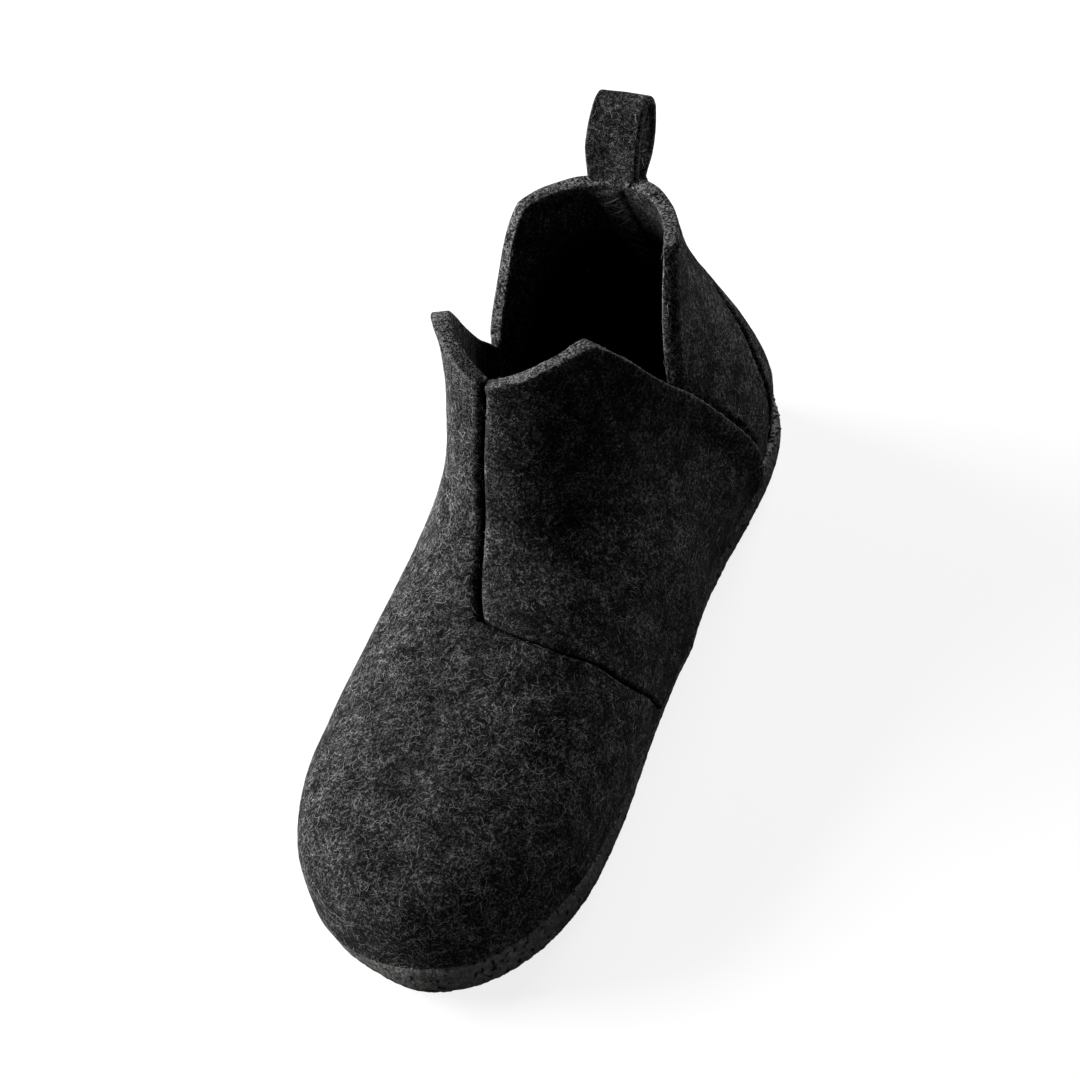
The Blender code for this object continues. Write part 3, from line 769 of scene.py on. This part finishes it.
def felt_panel(name, face, edges, depth, material, lift=None, seam_top=200.0):
    """Panel of felt over a grid of points on the last.

    Each edge gives its line, how rounded it is, the gap that it leaves at a seam, which is nothing for a cut
    edge, and how proud it stands. Depth is how far the panel lies inside the last. Seams close up towards the
    height of their top.
    """
    normal = outward(face)
    shape = face.shape[:2]
    drop, under, cut = np.zeros(shape), np.zeros(shape), np.zeros(shape)
    groove_shade, from_cut = np.zeros(shape), np.full(shape, 99.0)
    ease = smooth_step((seam_top - face[..., 2]) / SEAM_CLOSING)
    raised = np.zeros(shape) if lift is None else lift(face)
    back_off = np.zeros(face.shape)
    for line, radius, gap, proud in edges:
        distance, away = near_edge(face, line)
        drop = np.maximum(drop, roll_off(distance, radius) * (ease if gap else 1.0))
        raised = raised + proud * (1 - smooth_step(distance / PROUD_RUN))
        if gap:
            back_off -= away * (gap * ease * np.clip(1 - distance / BACK_OFF_RUN, 0, 1))[..., None]
            # Painted shade in the seam's groove, fading out beside it
            beyond = (distance - GROOVE_SHADE_WIDTH) / (GROOVE_SHADE_FADE + gap)
            groove_shade = np.maximum(groove_shade, ease * (1 - smooth_step(beyond)))
        else:
            from_cut = np.minimum(from_cut, distance)
            under = np.maximum(under, roll_off(distance, CUT))
            # Band along the cut edge: painted highlight, and thicker loose fibres
            cut = np.maximum(cut, np.clip(1.25 - distance / CUT_BAND, 0, 1))
    uneven = lumps(face, LUMP_SIZE, 1.7) * UNEVENNESS + lumps(face, 3.4, 4.2) * UNEVENNESS * 0.3
    outer = face + back_off + normal * (uneven + raised - drop - depth)[..., None]
    inner = face - normal * (depth + FELT - under + lumps(face, 9.0, 8.1) * 0.2)[..., None]
    points, faces = closed_sheet(outer, inner)
    tufts = np.clip(0.9 + 1.6 * lumps(face, TUFT_SIZE, 6.6), 0.1, 2.2) + 2.0 * cut
    # Painted shade on the inner face, deepening away from the cut edges
    inner_shade = smooth_step((from_cut.ravel() - INNER_SHADE_START) / INNER_SHADE_RUN)
    panel = make_piece(name, points, faces, material, cut_edge=np.concatenate([cut.ravel(), cut.ravel()]),
                       strewn=np.concatenate([tufts.ravel(), 2.5 * cut.ravel()]),
                       inside=np.concatenate([groove_shade.ravel(), inner_shade]))
    panel.data.set_sharp_from_angle(angle=SHARP_FELT)
    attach(panel, "root")
    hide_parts("upper")
    return panel


charcoal = felt_material("felt", colour(0.0030, 0.0030, 0.0031), colour(0.0130, 0.0130, 0.0132),
                         colour(0.28, 0.28, 0.282))
slant_line = cut_line(SLANT)
outer_slant = cut_line([(-angle, height) for angle, height in SLANT])
outer_top = cut_line(FLAP_TOP)
# Each run: an edge, the angles at the feather line where its columns start and end, their count
vamp_face = felt_fan([
    (outer_slant[::-1], -133.0, -80.0, 110),
    (outer_top[::-1], -80.0, -62.0, 44),
    (INSTEP_SEAM, -62.0, 4.0, 150),
    (BALL_SEAM, 4.0, 37.9, 112),
])
vamp = felt_panel("vamp", vamp_face, [
    (close_line(outer_slant), CUT, 0.0, SLANT_PROUD),
    (close_line(outer_top), CUT, 0.0, 0.0),
    (close_line(INSTEP_SEAM), TURNED, TURNED_GAP, 0.0),
    (close_line(BALL_SEAM), FLAT_SEAM, FLAT_GAP, 0.0),
], 0.0, charcoal)

# Inner quarter
# The second piece of the front: felt from the instep seam back along the foot's inner side, with the same
# square-cut collar and slanted rear edge. Its front and lower edges are turned into the seam with the vamp.
QUARTER_TOP = ((-4.0, 113.4), (2.0, 114.6), (18.0, 117.6), (36.0, 119.6), (56.0, 120.0))
QUARTER_FOOT = (38.3, 133.0)
quarter_top = cut_line(QUARTER_TOP)
quarter_low = wall_point(np.linspace(*QUARTER_FOOT, 120), feather)
quarter_back = close_line(slant_line[::-1], quarter_top[::-1])
quarter_face = felt_patch(quarter_low, close_line(INSTEP_SEAM[::-1]), close_line(BALL_SEAM[::-1]),
                          quarter_back, columns=150, rows=170)
inner_quarter = felt_panel("inner_quarter", quarter_face, [
    (close_line(BALL_SEAM), FLAT_SEAM, FLAT_GAP, 0.0),
    (close_line(INSTEP_SEAM), TURNED, TURNED_GAP, 0.0),
    (close_line(quarter_top), CUT, 0.0, 0.0),
    (close_line(slant_line), CUT, 0.0, SLANT_PROUD),
], 0.0, charcoal)

# Ankle panels
# A panel on each side of the heel, tucked under the quarters and sewn there. Each rises to the collar with a
# square-cut front edge and collar, and its rear edge is turned into the seam with the counter.
ANKLE_FRONT = ((98.0, 14.0), (98.0, 36.0), (98.0, 56.0), (111.0, 72.0), (120.0, 83.5), (128.0, 93.0),
               (136.0, 103.5), (142.0, 110.0))
# Columns: angle round the ankle on the inner side, on the outer side, height
COLLAR = np.array([
    (142.0, 218.0, 110.0),
    (148.0, 212.0, 110.9),
    (160.0, 203.0, 111.4),
    (178.3, 193.6, 112.0),
])
COUNTER_SEAM = np.array([
    (178.3, 193.6, 112.0),
    (175.6, 196.0, 100.0),
    (170.6, 198.5, 89.0),
    (165.0, 202.0, 78.0),
    (159.8, 206.0, 66.0),
    (154.8, 211.0, 54.0),
    (150.0, 215.0, 42.0),
    (146.4, 218.0, 30.0),
    (145.0, 219.0, 13.0),
])
COUNTER_GAP = 0.75
FRONT_ROUNDING = (4.0, 1.0)
TUCK_GROOVE = 0.7
TUCK_REACH = 4.5
# The quarter's edge is sewn down below this height and presses this much more there
SEWN_HEIGHT = 56.0
SEWN_FADE = 8.0
SEWN_PRESS = 2.5


def ankle_lines(side):
    """Front edge, collar and counter seam of an ankle panel: side 0 is the inner, 1 the outer."""
    front = np.array(ANKLE_FRONT)
    front[:, 0] = front[:, 0] if side == 0 else 360 - front[:, 0]
    lines = (front, COLLAR[:, (side, 2)], COUNTER_SEAM[:, (side, 2)])
    return [close_line(cut_line(line)) for line in lines]


def tucked(points, edge):
    """How far the panel is pressed in along the quarter's edge, most where the edge is sewn down."""
    sewn = 1 + SEWN_PRESS * smooth_step((SEWN_HEIGHT - points[..., 2]) / SEWN_FADE)
    return -TUCK_GROOVE * sewn * (1 - smooth_step(near_edge(points, edge)[0] / TUCK_REACH))


ankle_panels = []
front_foot = ANKLE_FRONT[0][0]
for side, side_name in enumerate(("inner", "outer")):
    front, collar, seam = ankle_lines(side)
    seam_foot = COUNTER_SEAM[-1, side]
    foot_angles = (front_foot, seam_foot) if side == 0 else (seam_foot, 360.0 - front_foot)
    low = wall_point(np.linspace(*foot_angles, 80), feather)
    if side == 0:
        ankle_face = felt_patch(low, collar, front, seam[::-1], columns=110, rows=130)
    else:
        ankle_face = felt_patch(low, collar[::-1], seam[::-1], front, columns=110, rows=130)
    covered_by = close_line(slant_line if side == 0 else outer_slant)
    ankle_panels.append(felt_panel(side_name + "_ankle_panel", ankle_face, [
        (front, FRONT_ROUNDING[side], 0.0, 0.0), (collar, CUT, 0.0, 0.0), (seam, TURNED, COUNTER_GAP, 0.0),
    ], PANEL_STEP, charcoal, lift=lambda face: tucked(face, covered_by), seam_top=COLLAR[-1, 2]))

# Counter
# The piece round the heel's back between two seams. It narrows to a rounded tongue that is sewn over the
# lower end of the pull loop, so it stands proud there.
LOOP_OFFSET = -5.0
TONGUE_LIFT = 4.2
TONGUE_ROUNDING = 1.3
TONGUE_HALF_WIDTH = 8.6
TONGUE_FADE = 4.4
TONGUE_START = 82.0
TONGUE_RUN = 17.0
# Columns: place across from the tongue's middle, height
TONGUE_TOP = np.array([(7.9, 112.0), (7.0, 112.3), (4.0, 112.7), (0.0, 112.9), (-4.0, 112.7), (-7.0, 112.3),
                       (-7.9, 112.0)])


def heel_back(across, height):
    """Points of the last at the heel's back."""
    start = np.stack([across, np.full_like(across, ANKLE_CENTRE[1]), height], -1)
    return outward_hit(start, np.broadcast_to((0.0, -1.0, 0.0), start.shape))


def tongue_lift(points):
    """How far the counter stands proud over the loop's end."""
    beside = 1 - smooth_step((np.abs(points[..., 0] - LOOP_OFFSET) - TONGUE_HALF_WIDTH) / TONGUE_FADE)
    return TONGUE_LIFT * beside * smooth_step((points[..., 2] - TONGUE_START) / TONGUE_RUN)


inner_seam, outer_seam = (close_line(cut_line(COUNTER_SEAM[:, (side, 2)])) for side in (0, 1))
tongue = heel_back(TONGUE_TOP[:, 0] + LOOP_OFFSET, TONGUE_TOP[:, 1])
tongue[0], tongue[-1] = inner_seam[0], outer_seam[0]
counter_low = wall_point(np.linspace(*COUNTER_SEAM[-1, :2], 120), feather)
counter_face = felt_patch(counter_low, close_line(tongue), inner_seam[::-1], outer_seam[::-1],
                          columns=130, rows=130)
counter = felt_panel("counter", counter_face, [
    (inner_seam, TURNED, COUNTER_GAP, 0.0),
    (outer_seam, TURNED, COUNTER_GAP, 0.0),
    (close_line(tongue), TONGUE_ROUNDING, 0.0, 0.0),
], PANEL_STEP, charcoal, lift=tongue_lift, seam_top=COLLAR[-1, 2])

# Heel tape
# A narrow tape of thin felt inside the heel's back, held with a zigzag of grey thread. It runs from the
# collar under the pull loop down to the insole.
TAPE_WIDTH = 11.0
TAPE_THICKNESS = 0.9
TAPE_SINK = 0.25
# Distances down the tape at which painted shade starts, and over which it deepens
TAPE_SHADE_START = 12.0
TAPE_SHADE_RUN = 30.0
# Columns: place across, height
TAPE_LINE = ((-6.5, 111.5), (-5.0, 95.0), (-3.0, 80.0), (-1.0, 55.0), (0.0, 22.0))
ZIGZAG_STEP = 2.6
ZIGZAG_REACH = 3.4
STITCH_RADIUS = 0.24
STITCH_LIFT = 0.15


def tube_shape(name, line, radii, sides):
    """Small mesh of a tube along a line, in millimetres."""
    turn = np.linspace(0, 2 * np.pi, sides, endpoint=False)
    ring = np.stack([np.zeros(sides), np.cos(turn), np.sin(turn)], -1)
    rings = line[:, None] + ring[None] * np.asarray(radii)[:, None, None]
    faces = [f[::-1] for f in grid_faces(sides, len(line), closed=True)]
    mesh = bpy.data.meshes.new(name)
    mesh.from_pydata((rings.transpose(1, 0, 2).reshape(-1, 3) * MM).tolist(), [], faces)
    mesh.shade_smooth()
    return bpy.data.objects.new(name, mesh)


def grown(name, host, build, **inputs):
    """Plain mesh piece from a Geometry Nodes tree: build adds the nodes that make instances of its inputs."""
    kinds = {int: "NodeSocketInt", float: "NodeSocketFloat", bpy.types.Collection: "NodeSocketCollection",
             bpy.types.Object: "NodeSocketObject", bpy.types.Material: "NodeSocketMaterial"}
    tree = bpy.data.node_groups.new(name, "GeometryNodeTree")
    tree.interface.new_socket("Geometry", in_out="INPUT", socket_type="NodeSocketGeometry")
    sockets = {label: tree.interface.new_socket(label, in_out="INPUT", socket_type=kinds[type(value)])
               for label, value in inputs.items()}
    tree.interface.new_socket("Geometry", in_out="OUTPUT", socket_type="NodeSocketGeometry")
    entry = tree.nodes.new("NodeGroupInput")
    given = {socket.name: Shade(tree, socket) for socket in entry.outputs if socket.name}
    shade = Shade(tree)
    copies = shade.node("GeometryNodeRealizeInstances", Geometry=build(shade, given))
    result = shade.node("GeometryNodeSetMaterial", Geometry=copies, Material=given["Material"])
    tree.links.new(result.socket, tree.nodes.new("NodeGroupOutput").inputs[0])
    carrier = bpy.data.objects.new(name, host)
    bpy.context.scene.collection.objects.link(carrier)
    modifier = carrier.modifiers.new(name, "NODES")
    modifier.node_group = tree
    for label, value in inputs.items():
        modifier[sockets[label].identifier] = value
    bpy.context.view_layer.update()
    made = bpy.data.meshes.new_from_object(carrier.evaluated_get(bpy.context.evaluated_depsgraph_get()))
    carrier.modifiers.remove(modifier)
    carrier.data = made
    made.shade_smooth()
    return carrier


def stitches(shade, given):
    """One stitch on every point, laid along the point's heading."""
    heading = shade.node("GeometryNodeInputNamedAttribute", {"data_type": "FLOAT_VECTOR"}, Name="heading")
    points = shade.node("GeometryNodeMeshToPoints", Mesh=given["Geometry"])
    turned = shade.node("FunctionNodeAlignRotationToVector", {"axis": "X"}, Vector=heading)
    stitch = shade.node("GeometryNodeObjectInfo", output="Geometry", Object=given["Stitch"])
    return shade.node("GeometryNodeInstanceOnPoints", Points=points, Instance=stitch, Rotation=turned)


thread, _, _ = new_material("thread", Base_Color=colour(0.055, 0.055, 0.057), Roughness=0.7)
stitch_line = np.stack([np.linspace(-0.5, 0.5, 6) * np.hypot(ZIGZAG_STEP, 2 * ZIGZAG_REACH), np.zeros(6),
                        np.array([-0.2, 0.15, 0.25, 0.25, 0.15, -0.2])], -1)
stitch = tube_shape("stitch", stitch_line, np.array([0.6, 1, 1, 1, 1, 0.6]) * STITCH_RADIUS, 6)
tape_line = smooth_line(heel_back(*np.array(TAPE_LINE).T), np.linspace(0, 1, 120))
tape_length = run_along(tape_line)[-1]


def tape_point(place, across, depth):
    """Point of the tape at a distance down its line, to one side of it and inside the last."""
    spot, before, after = (line_points(tape_line, place + step) for step in (0.0, -1.0, 1.0))
    beside = unit(np.cross(outward(spot), after - before))
    spot = on_last(spot + beside * np.asarray(across)[..., None])
    return spot - outward(spot) * np.asarray(depth)[..., None]


place, across = np.meshgrid(np.linspace(1.0, tape_length, 110), np.linspace(-0.5, 0.5, 15) * TAPE_WIDTH,
                            indexing="ij")
wall = np.full(place.shape, PANEL_STEP + FELT - TAPE_SINK)
rounded = np.clip((0.5 - np.abs(across / TAPE_WIDTH)) * 8, 0.15, 1) ** 0.5
tape_points, tape_faces = closed_sheet(tape_point(place, across, wall),
                                       tape_point(place, across, wall + TAPE_SINK + TAPE_THICKNESS * rounded))
# Painted shade: the tape is painted darker further down inside the heel
inner_shade = smooth_step((place.ravel() - TAPE_SHADE_START) / TAPE_SHADE_RUN)
tape = make_piece("heel_tape", tape_points, tape_faces, charcoal, inside=np.concatenate([inner_shade, inner_shade]))
count = int(tape_length / ZIGZAG_STEP) - 1
thread_depth = np.full(count, PANEL_STEP + FELT + TAPE_THICKNESS + STITCH_LIFT)
places = np.arange(count) + 1.0
sway = np.where(np.arange(count) % 2 == 0, 1.0, -1.0) * ZIGZAG_REACH
middles = tape_point(places * ZIGZAG_STEP, 0 * sway, thread_depth)
heading = (tape_point((places + 0.5) * ZIGZAG_STEP, sway, thread_depth)
           - tape_point((places - 0.5) * ZIGZAG_STEP, -sway, thread_depth)) * (1.0, -1.0, 1.0)
marks = bpy.data.meshes.new("zigzag_marks")
marks.from_pydata(to_frame(middles).tolist(), [], [])
marks.attributes.new("heading", "FLOAT_VECTOR", "POINT").data.foreach_set("vector", heading.ravel())
zigzag = grown("tape_zigzag", marks, stitches, Stitch=stitch, Material=thread)
for piece in (tape, zigzag):
    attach(piece, "root")
    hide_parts("upper")
bpy.data.objects.remove(stitch)

# Pull loop
# A strip of thinner felt folded over at the heel's collar. Its outer end is sewn under the counter's tongue
# and its inner end on the collar's edge, and it leans back as a narrow loop.
LOOP_WIDTH = 18.0
LOOP_THICKNESS = 3.0
LOOP_CLEARANCE = 0.3
LOOP_RISE = 19.2
LOOP_SEWN_OUTSIDE = 16.5
LOOP_SEAT_DEPTH = 2.3
LOOP_SEAT_RISE = 1.6
LOOP_LEAN = 0.8
LOOP_TURN = 2.5
LOOP_FLATTENING = 0.6
LOOP_BULGE = 1.35
LOOP_COLLAR = 111.0
LOOP_ROUNDING = 0.8
LOOP_COLUMNS = 35
LOOP_SEWN_ROWS = 14
LOOP_LEG_ROWS = 30
LOOP_TOP_STEPS = 26


def loop_middle():
    """Middle surface of the strip: columns across, rows from the outer end over the top inwards."""
    across = LOOP_OFFSET + LOOP_WIDTH / 2 * np.sin(np.linspace(np.pi / 2, -np.pi / 2, LOOP_COLUMNS))
    levels = np.linspace(LOOP_COLLAR - LOOP_SEWN_OUTSIDE, LOOP_COLLAR, LOOP_SEWN_ROWS)
    wall = heel_back(*np.meshgrid(across, levels, indexing="ij"))
    outer = wall + outward(wall) * (LOOP_CLEARANCE + LOOP_THICKNESS / 2 - PANEL_STEP)
    inner = wall[:, -1] - outward(wall[:, -1]) * (PANEL_STEP + LOOP_SEAT_DEPTH)
    middle = (outer[:, -1] + inner) / 2
    half_gap = (outer[:, -1] - inner) / 2
    radius = np.linalg.norm(half_gap, axis=-1).mean()
    centre = middle[len(middle) // 2]
    lean = np.array([0.0, -LOOP_LEAN, 1.0])
    square = np.array([0.0, -1.0, -LOOP_LEAN]) * radius / np.hypot(1, LOOP_LEAN)

    def free(rise, sway):
        share = rise / LOOP_RISE
        turned = smooth_step(share * LOOP_TURN)
        spread = (half_gap * (1 - turned) + square * turned) * (1 + LOOP_BULGE * np.sin(np.pi * share))
        row = middle.copy()
        row[:, 1:] = centre[1:] + (middle - centre)[:, 1:] * (1 - LOOP_FLATTENING * share)
        return row + lean * rise + spread * sway

    straight = np.linspace(0, LOOP_RISE - radius, LOOP_LEG_ROWS + 1)[1:]
    turn = np.linspace(0, np.pi, LOOP_TOP_STEPS + 1)[1:-1]
    rows = [outer[:, j] for j in range(LOOP_SEWN_ROWS)]
    rows += [free(rise, 1.0) for rise in straight]
    rows += [free(straight[-1] + radius * np.sin(t), np.cos(t)) for t in turn]
    rows += [free(rise, -1.0) for rise in straight[::-1] if rise > LOOP_SEAT_RISE]
    rows += [free(LOOP_SEAT_RISE, -1.0)]
    return np.stack(rows, 1)


strip = loop_middle()
strip_normal = unit(np.cross(np.gradient(strip, axis=1), np.gradient(strip, axis=0)))
from_edge = (LOOP_WIDTH / 2 - np.abs(strip[:, :1, 0] - LOOP_OFFSET)) * np.ones(strip.shape[:2])
half_thick = LOOP_THICKNESS / 2 - roll_off(from_edge, LOOP_ROUNDING)
uneven = lumps(strip, 6.0, 2.2)[..., None] * strip_normal * 0.15
loop_sides = [strip + uneven + strip_normal * half_thick[..., None],
              strip + uneven - strip_normal * half_thick[..., None]]
loop_points, loop_faces = closed_sheet(*loop_sides)
# Band along the loop's edges: painted highlight, and thicker loose fibres
cut = np.clip(1 - from_edge / LOOP_ROUNDING, 0, 1).ravel()
pull_loop = make_piece("heel_pull_loop", loop_points, loop_faces, charcoal,
                       cut_edge=np.concatenate([cut, cut]), strewn=np.concatenate([1 + cut, 1 + cut]))
pull_loop.data.set_sharp_from_angle(angle=SHARP_FELT)
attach(pull_loop, "root")
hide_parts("pull_loop")

# Loop button
# A plain turned stud of grey metal, riveted through the loop's outer leg. Its face is dished with a raised
# rim, and tarnished in soft patches.
BUTTON_SIDES = 72
BUTTON_STANDOFF = 0.6
BUTTON_ROW = LOOP_SEWN_ROWS + LOOP_LEG_ROWS * 3 // 5 - 1
# Columns: radius, height above the seat
BUTTON_PROFILE = (
    (0.0, 1.85),
    (1.2, 1.83),
    (2.4, 1.76),
    (3.1, 1.66),
    (3.45, 1.5),
    (3.7, 1.34),
    (4.0, 1.3),
    (4.3, 1.36),
    (4.5, 1.62),
    (4.7, 1.84),
    (4.95, 1.9),
    (5.2, 1.8),
    (5.4, 1.5),
    (5.5, 1.1),
    (5.5, 0.0),
)
column = LOOP_COLUMNS // 2
axis = strip_normal[column, BUTTON_ROW]
seat = strip[column, BUTTON_ROW] + axis * (LOOP_THICKNESS / 2 + BUTTON_STANDOFF)
side = np.cross((1.0, 0.0, 0.0), axis)
side /= np.linalg.norm(side)
turn = np.linspace(0, 2 * np.pi, BUTTON_SIDES, endpoint=False)
ray = np.cos(turn)[:, None] * np.array([1.0, 0.0, 0.0]) + np.sin(turn)[:, None] * side
button_rings = np.stack([seat + ray * radius + axis * rise for radius, rise in BUTTON_PROFILE[:0:-1]], 1)
button_points = np.concatenate([button_rings.reshape(-1, 3), [seat + axis * BUTTON_PROFILE[0][1]], [seat]])
ring_count = len(BUTTON_PROFILE) - 1
button_faces = grid_faces(BUTTON_SIDES, ring_count, closed=True)
crown, foot_point = len(button_points) - 2, len(button_points) - 1
low = [number * ring_count for number in range(BUTTON_SIDES)]
pairs = list(zip(low, low[1:] + low[:1]))
button_faces += [(here + ring_count - 1, following + ring_count - 1, crown) for here, following in pairs]
button_faces += [(following, here, foot_point) for here, following in pairs]
metal, shader, shade = new_material("metal", Metallic=1.0)
place = shade.node("ShaderNodeTexCoord", output="Object")
tarnish = place.noise(700.0, 4.0)
drawn_out = shade.node("ShaderNodeMapping", Vector=place, Rotation=(0.0, 0.4, 0.0),
                       Scale=(6000.0, 900.0, 700.0))
scratch = drawn_out.noise(1.0, 2.0)
worn_metal = tarnish.between(0.3, 0.7).mix(colour(0.13, 0.127, 0.122), colour(0.36, 0.35, 0.335))
connect(shader, Base_Color=worn_metal,
        Roughness=0.30 + tarnish * 0.25 + scratch * 0.12,
        Normal=shade.node("ShaderNodeBump", Height=scratch + tarnish * 0.5, Strength=0.12, Distance=0.0002))
button = make_piece("plain_stud", button_points, button_faces, metal)
button.data.set_sharp_from_angle(angle=math.radians(60))
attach(button, "root")
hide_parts("loop_button")

# Loose fibres
# Curled wool hairs that have worked out of the felt and lie on it in tufts, thickest along the cut edges.
# They are strewn by Geometry Nodes over every panel and the loop.
FIBRE_LENGTH = 3.0
FIBRE_RADIUS = 0.024
FIBRE_TAPER = np.array([0.5, 1, 1, 1, 1, 0.4])
# Columns: bow, wave and the wave's start
FIBRE_CURLS = ((0.4, 0.1, 0.4), (-0.25, 0.2, 1.9), (0.15, -0.22, 3.1), (0.6, 0.08, 5.0))
FIBRES_A_SQUARE_METRE = 110000.0
OTHER_DENSITIES = {"vamp": 200000.0, "inner_quarter": 55000.0}


def strewn_copies(shade, given):
    """Copies of a collection's shapes over the faces, by the piece's own weight, turned at random."""
    weight = shade.node("GeometryNodeInputNamedAttribute", {"data_type": "FLOAT"}, Name="strewn")
    points = shade.node("GeometryNodeDistributePointsOnFaces", Mesh=given["Geometry"],
                        Density=weight * given["Density"], Seed=given["Seed"])
    lying = Shade(shade.tree, points.socket.node.outputs["Rotation"])
    spin = shade.node("FunctionNodeRandomValue", {"data_type": "FLOAT_VECTOR"}, Min=(-0.12, -0.12, 0.0),
                      Max=(0.12, 0.12, 6.283), Seed=given["Seed"])
    turned = shade.node("FunctionNodeRotateRotation", {"rotation_space": "LOCAL"}, Rotation=lying,
                        Rotate_By=shade.node("FunctionNodeEulerToRotation", Euler=spin))
    size = shade.node("FunctionNodeRandomValue", {"data_type": "FLOAT"}, output=1, Min_001=given["Smallest"],
                      Max_001=given["Largest"], Seed=given["Seed"] + 1)
    shapes = shade.node("GeometryNodeCollectionInfo", Collection=given["Shapes"], Separate_Children=True,
                        Reset_Children=True)
    return shade.node("GeometryNodeInstanceOnPoints", Points=points, Instance=shapes, Pick_Instance=True,
                      Rotation=turned, Scale=size)


fibre_shapes = bpy.data.collections.new("fibre_shapes")
share = np.linspace(-0.5, 0.5, 6)
for number, (bow, wave, phase) in enumerate(FIBRE_CURLS):
    curl = bow * (1 - 4 * share ** 2) + wave * np.sin(9 * share + phase)
    rise = 0.05 + 0.5 * share ** 2 + 0.05 * np.cos(7 * share)
    hair_line = np.stack([share * FIBRE_LENGTH, curl, rise], -1)
    fibre_shapes.objects.link(tube_shape("fibre_%d" % number, hair_line, FIBRE_TAPER * FIBRE_RADIUS, 3))
wool_hair, _, _ = new_material("wool_hair", Base_Color=colour(0.58, 0.58, 0.585), Roughness=0.8)
for number, host in enumerate((vamp, inner_quarter, *ankle_panels, counter, pull_loop)):
    hairs = grown(host.name + "_fibres", host.data, strewn_copies, Shapes=fibre_shapes, Material=wool_hair,
                  Density=OTHER_DENSITIES.get(host.name, FIBRES_A_SQUARE_METRE),
                  Smallest=0.3, Largest=1.2, Seed=number + 3)
    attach(hairs, "root")
    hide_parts("pull_loop" if host is pull_loop else "upper")

# Loose crumbs
# Bits of crumb that stick out of the shell's upper edge where the felt was pressed into it. They are the
# shell's own rubber, strewn in the same way as the fibres.
CRUMBS_A_SQUARE_METRE = 420000.0
CRUMB_PLACES = (-0.5, -0.2, 0.25, 0.5)
CRUMB_RADII = (0.12, 0.5, 0.42, 0.15)
crumb_shapes = bpy.data.collections.new("crumb_shapes")
crumb_line = np.stack([np.array(CRUMB_PLACES), np.zeros(4), np.zeros(4)], -1)
for number in range(3):
    radii = np.roll(CRUMB_RADII, number % 2)
    crumb_shapes.objects.link(tube_shape("crumb_%d" % number, crumb_line, radii, 5))
loose = grown("loose_crumbs", sole_shell.data, strewn_copies, Shapes=crumb_shapes, Material=crumb,
              Density=CRUMBS_A_SQUARE_METRE, Smallest=0.7, Largest=1.7, Seed=11)
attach(loose, "root")
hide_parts("sole_rim")
for shapes in (fibre_shapes, crumb_shapes):
    for shape in list(shapes.objects):
        bpy.data.objects.remove(shape)
    bpy.data.collections.remove(shapes)

# Floor, light and camera
# A plain pale floor, a large soft light from the outer side, weaker ones from the front, from behind and low
# at the toe, and the camera at the photograph's angle to the slipper.
bpy.ops.mesh.primitive_plane_add(size=12.0)
floor = bpy.context.object
floor.name = "floor"
pale_floor, _, _ = new_material("pale_floor", Base_Color=colour(0.22, 0.22, 0.22), Roughness=0.9,
                                Emission_Color=colour(1.0, 1.0, 1.0), Emission_Strength=0.82)
floor.data.materials.append(pale_floor)
floor.visible_diffuse = False
floor.visible_glossy = False

world = bpy.data.worlds.new("studio")
bpy.context.scene.world = world
world.use_nodes = True
world.node_tree.nodes["Background"].inputs["Color"].default_value = colour(1.0, 1.0, 1.0)
world.node_tree.nodes["Background"].inputs["Strength"].default_value = 0.01
bpy.context.scene.view_settings.view_transform = "Standard"
TARGET = Vector((-0.00759, 0.01451, 0.045))


def soft_light(name, place, size, power):
    """Square area light that faces the slipper."""
    lamp = bpy.data.lights.new(name, "AREA")
    lamp.size = size
    lamp.energy = power
    light = bpy.data.objects.new(name, lamp)
    light.location = TARGET + Vector(place)
    light.rotation_euler = (-Vector(place)).to_track_quat("-Z", "Y").to_euler()
    bpy.context.scene.collection.objects.link(light)


soft_light("key", (-1.24, -0.22, 0.38), 1.1, 68.0)
soft_light("fill", (0.9, -0.8, 0.4), 1.0, 0.8)
soft_light("card", (0.13, -0.215, -0.015), 0.12, 0.025)
soft_light("back", (0.1, 1.2, 0.45), 0.7, 14.0)

CAMERA_AZIMUTH = math.radians(38.05)
CAMERA_ELEVATION = math.radians(45.12)
CAMERA_ROLL = math.radians(-16.08)
CAMERA_DISTANCE = 1.25
SENSOR_WIDTH = 36.0
# Focal length and width of the photograph, in its pixels
FOCAL_PIXELS = 4166.0
PHOTO_PIXELS = 1080.0
outwards = Vector((math.sin(CAMERA_AZIMUTH) * math.cos(CAMERA_ELEVATION),
                   -math.cos(CAMERA_AZIMUTH) * math.cos(CAMERA_ELEVATION), math.sin(CAMERA_ELEVATION)))
level = Vector((math.cos(CAMERA_AZIMUTH), math.sin(CAMERA_AZIMUTH), 0.0))
upright = outwards.cross(level)
right = math.cos(CAMERA_ROLL) * level + math.sin(CAMERA_ROLL) * upright
up = math.cos(CAMERA_ROLL) * upright - math.sin(CAMERA_ROLL) * level
lens = bpy.data.cameras.new("camera")
lens.sensor_width = SENSOR_WIDTH
lens.lens = FOCAL_PIXELS / PHOTO_PIXELS * SENSOR_WIDTH
camera = bpy.data.objects.new("camera", lens)
turned = Matrix((right, up, outwards)).transposed().to_4x4()
camera.matrix_world = Matrix.Translation(TARGET + outwards * CAMERA_DISTANCE) @ turned
bpy.context.scene.collection.objects.link(camera)
bpy.context.scene.camera = camera
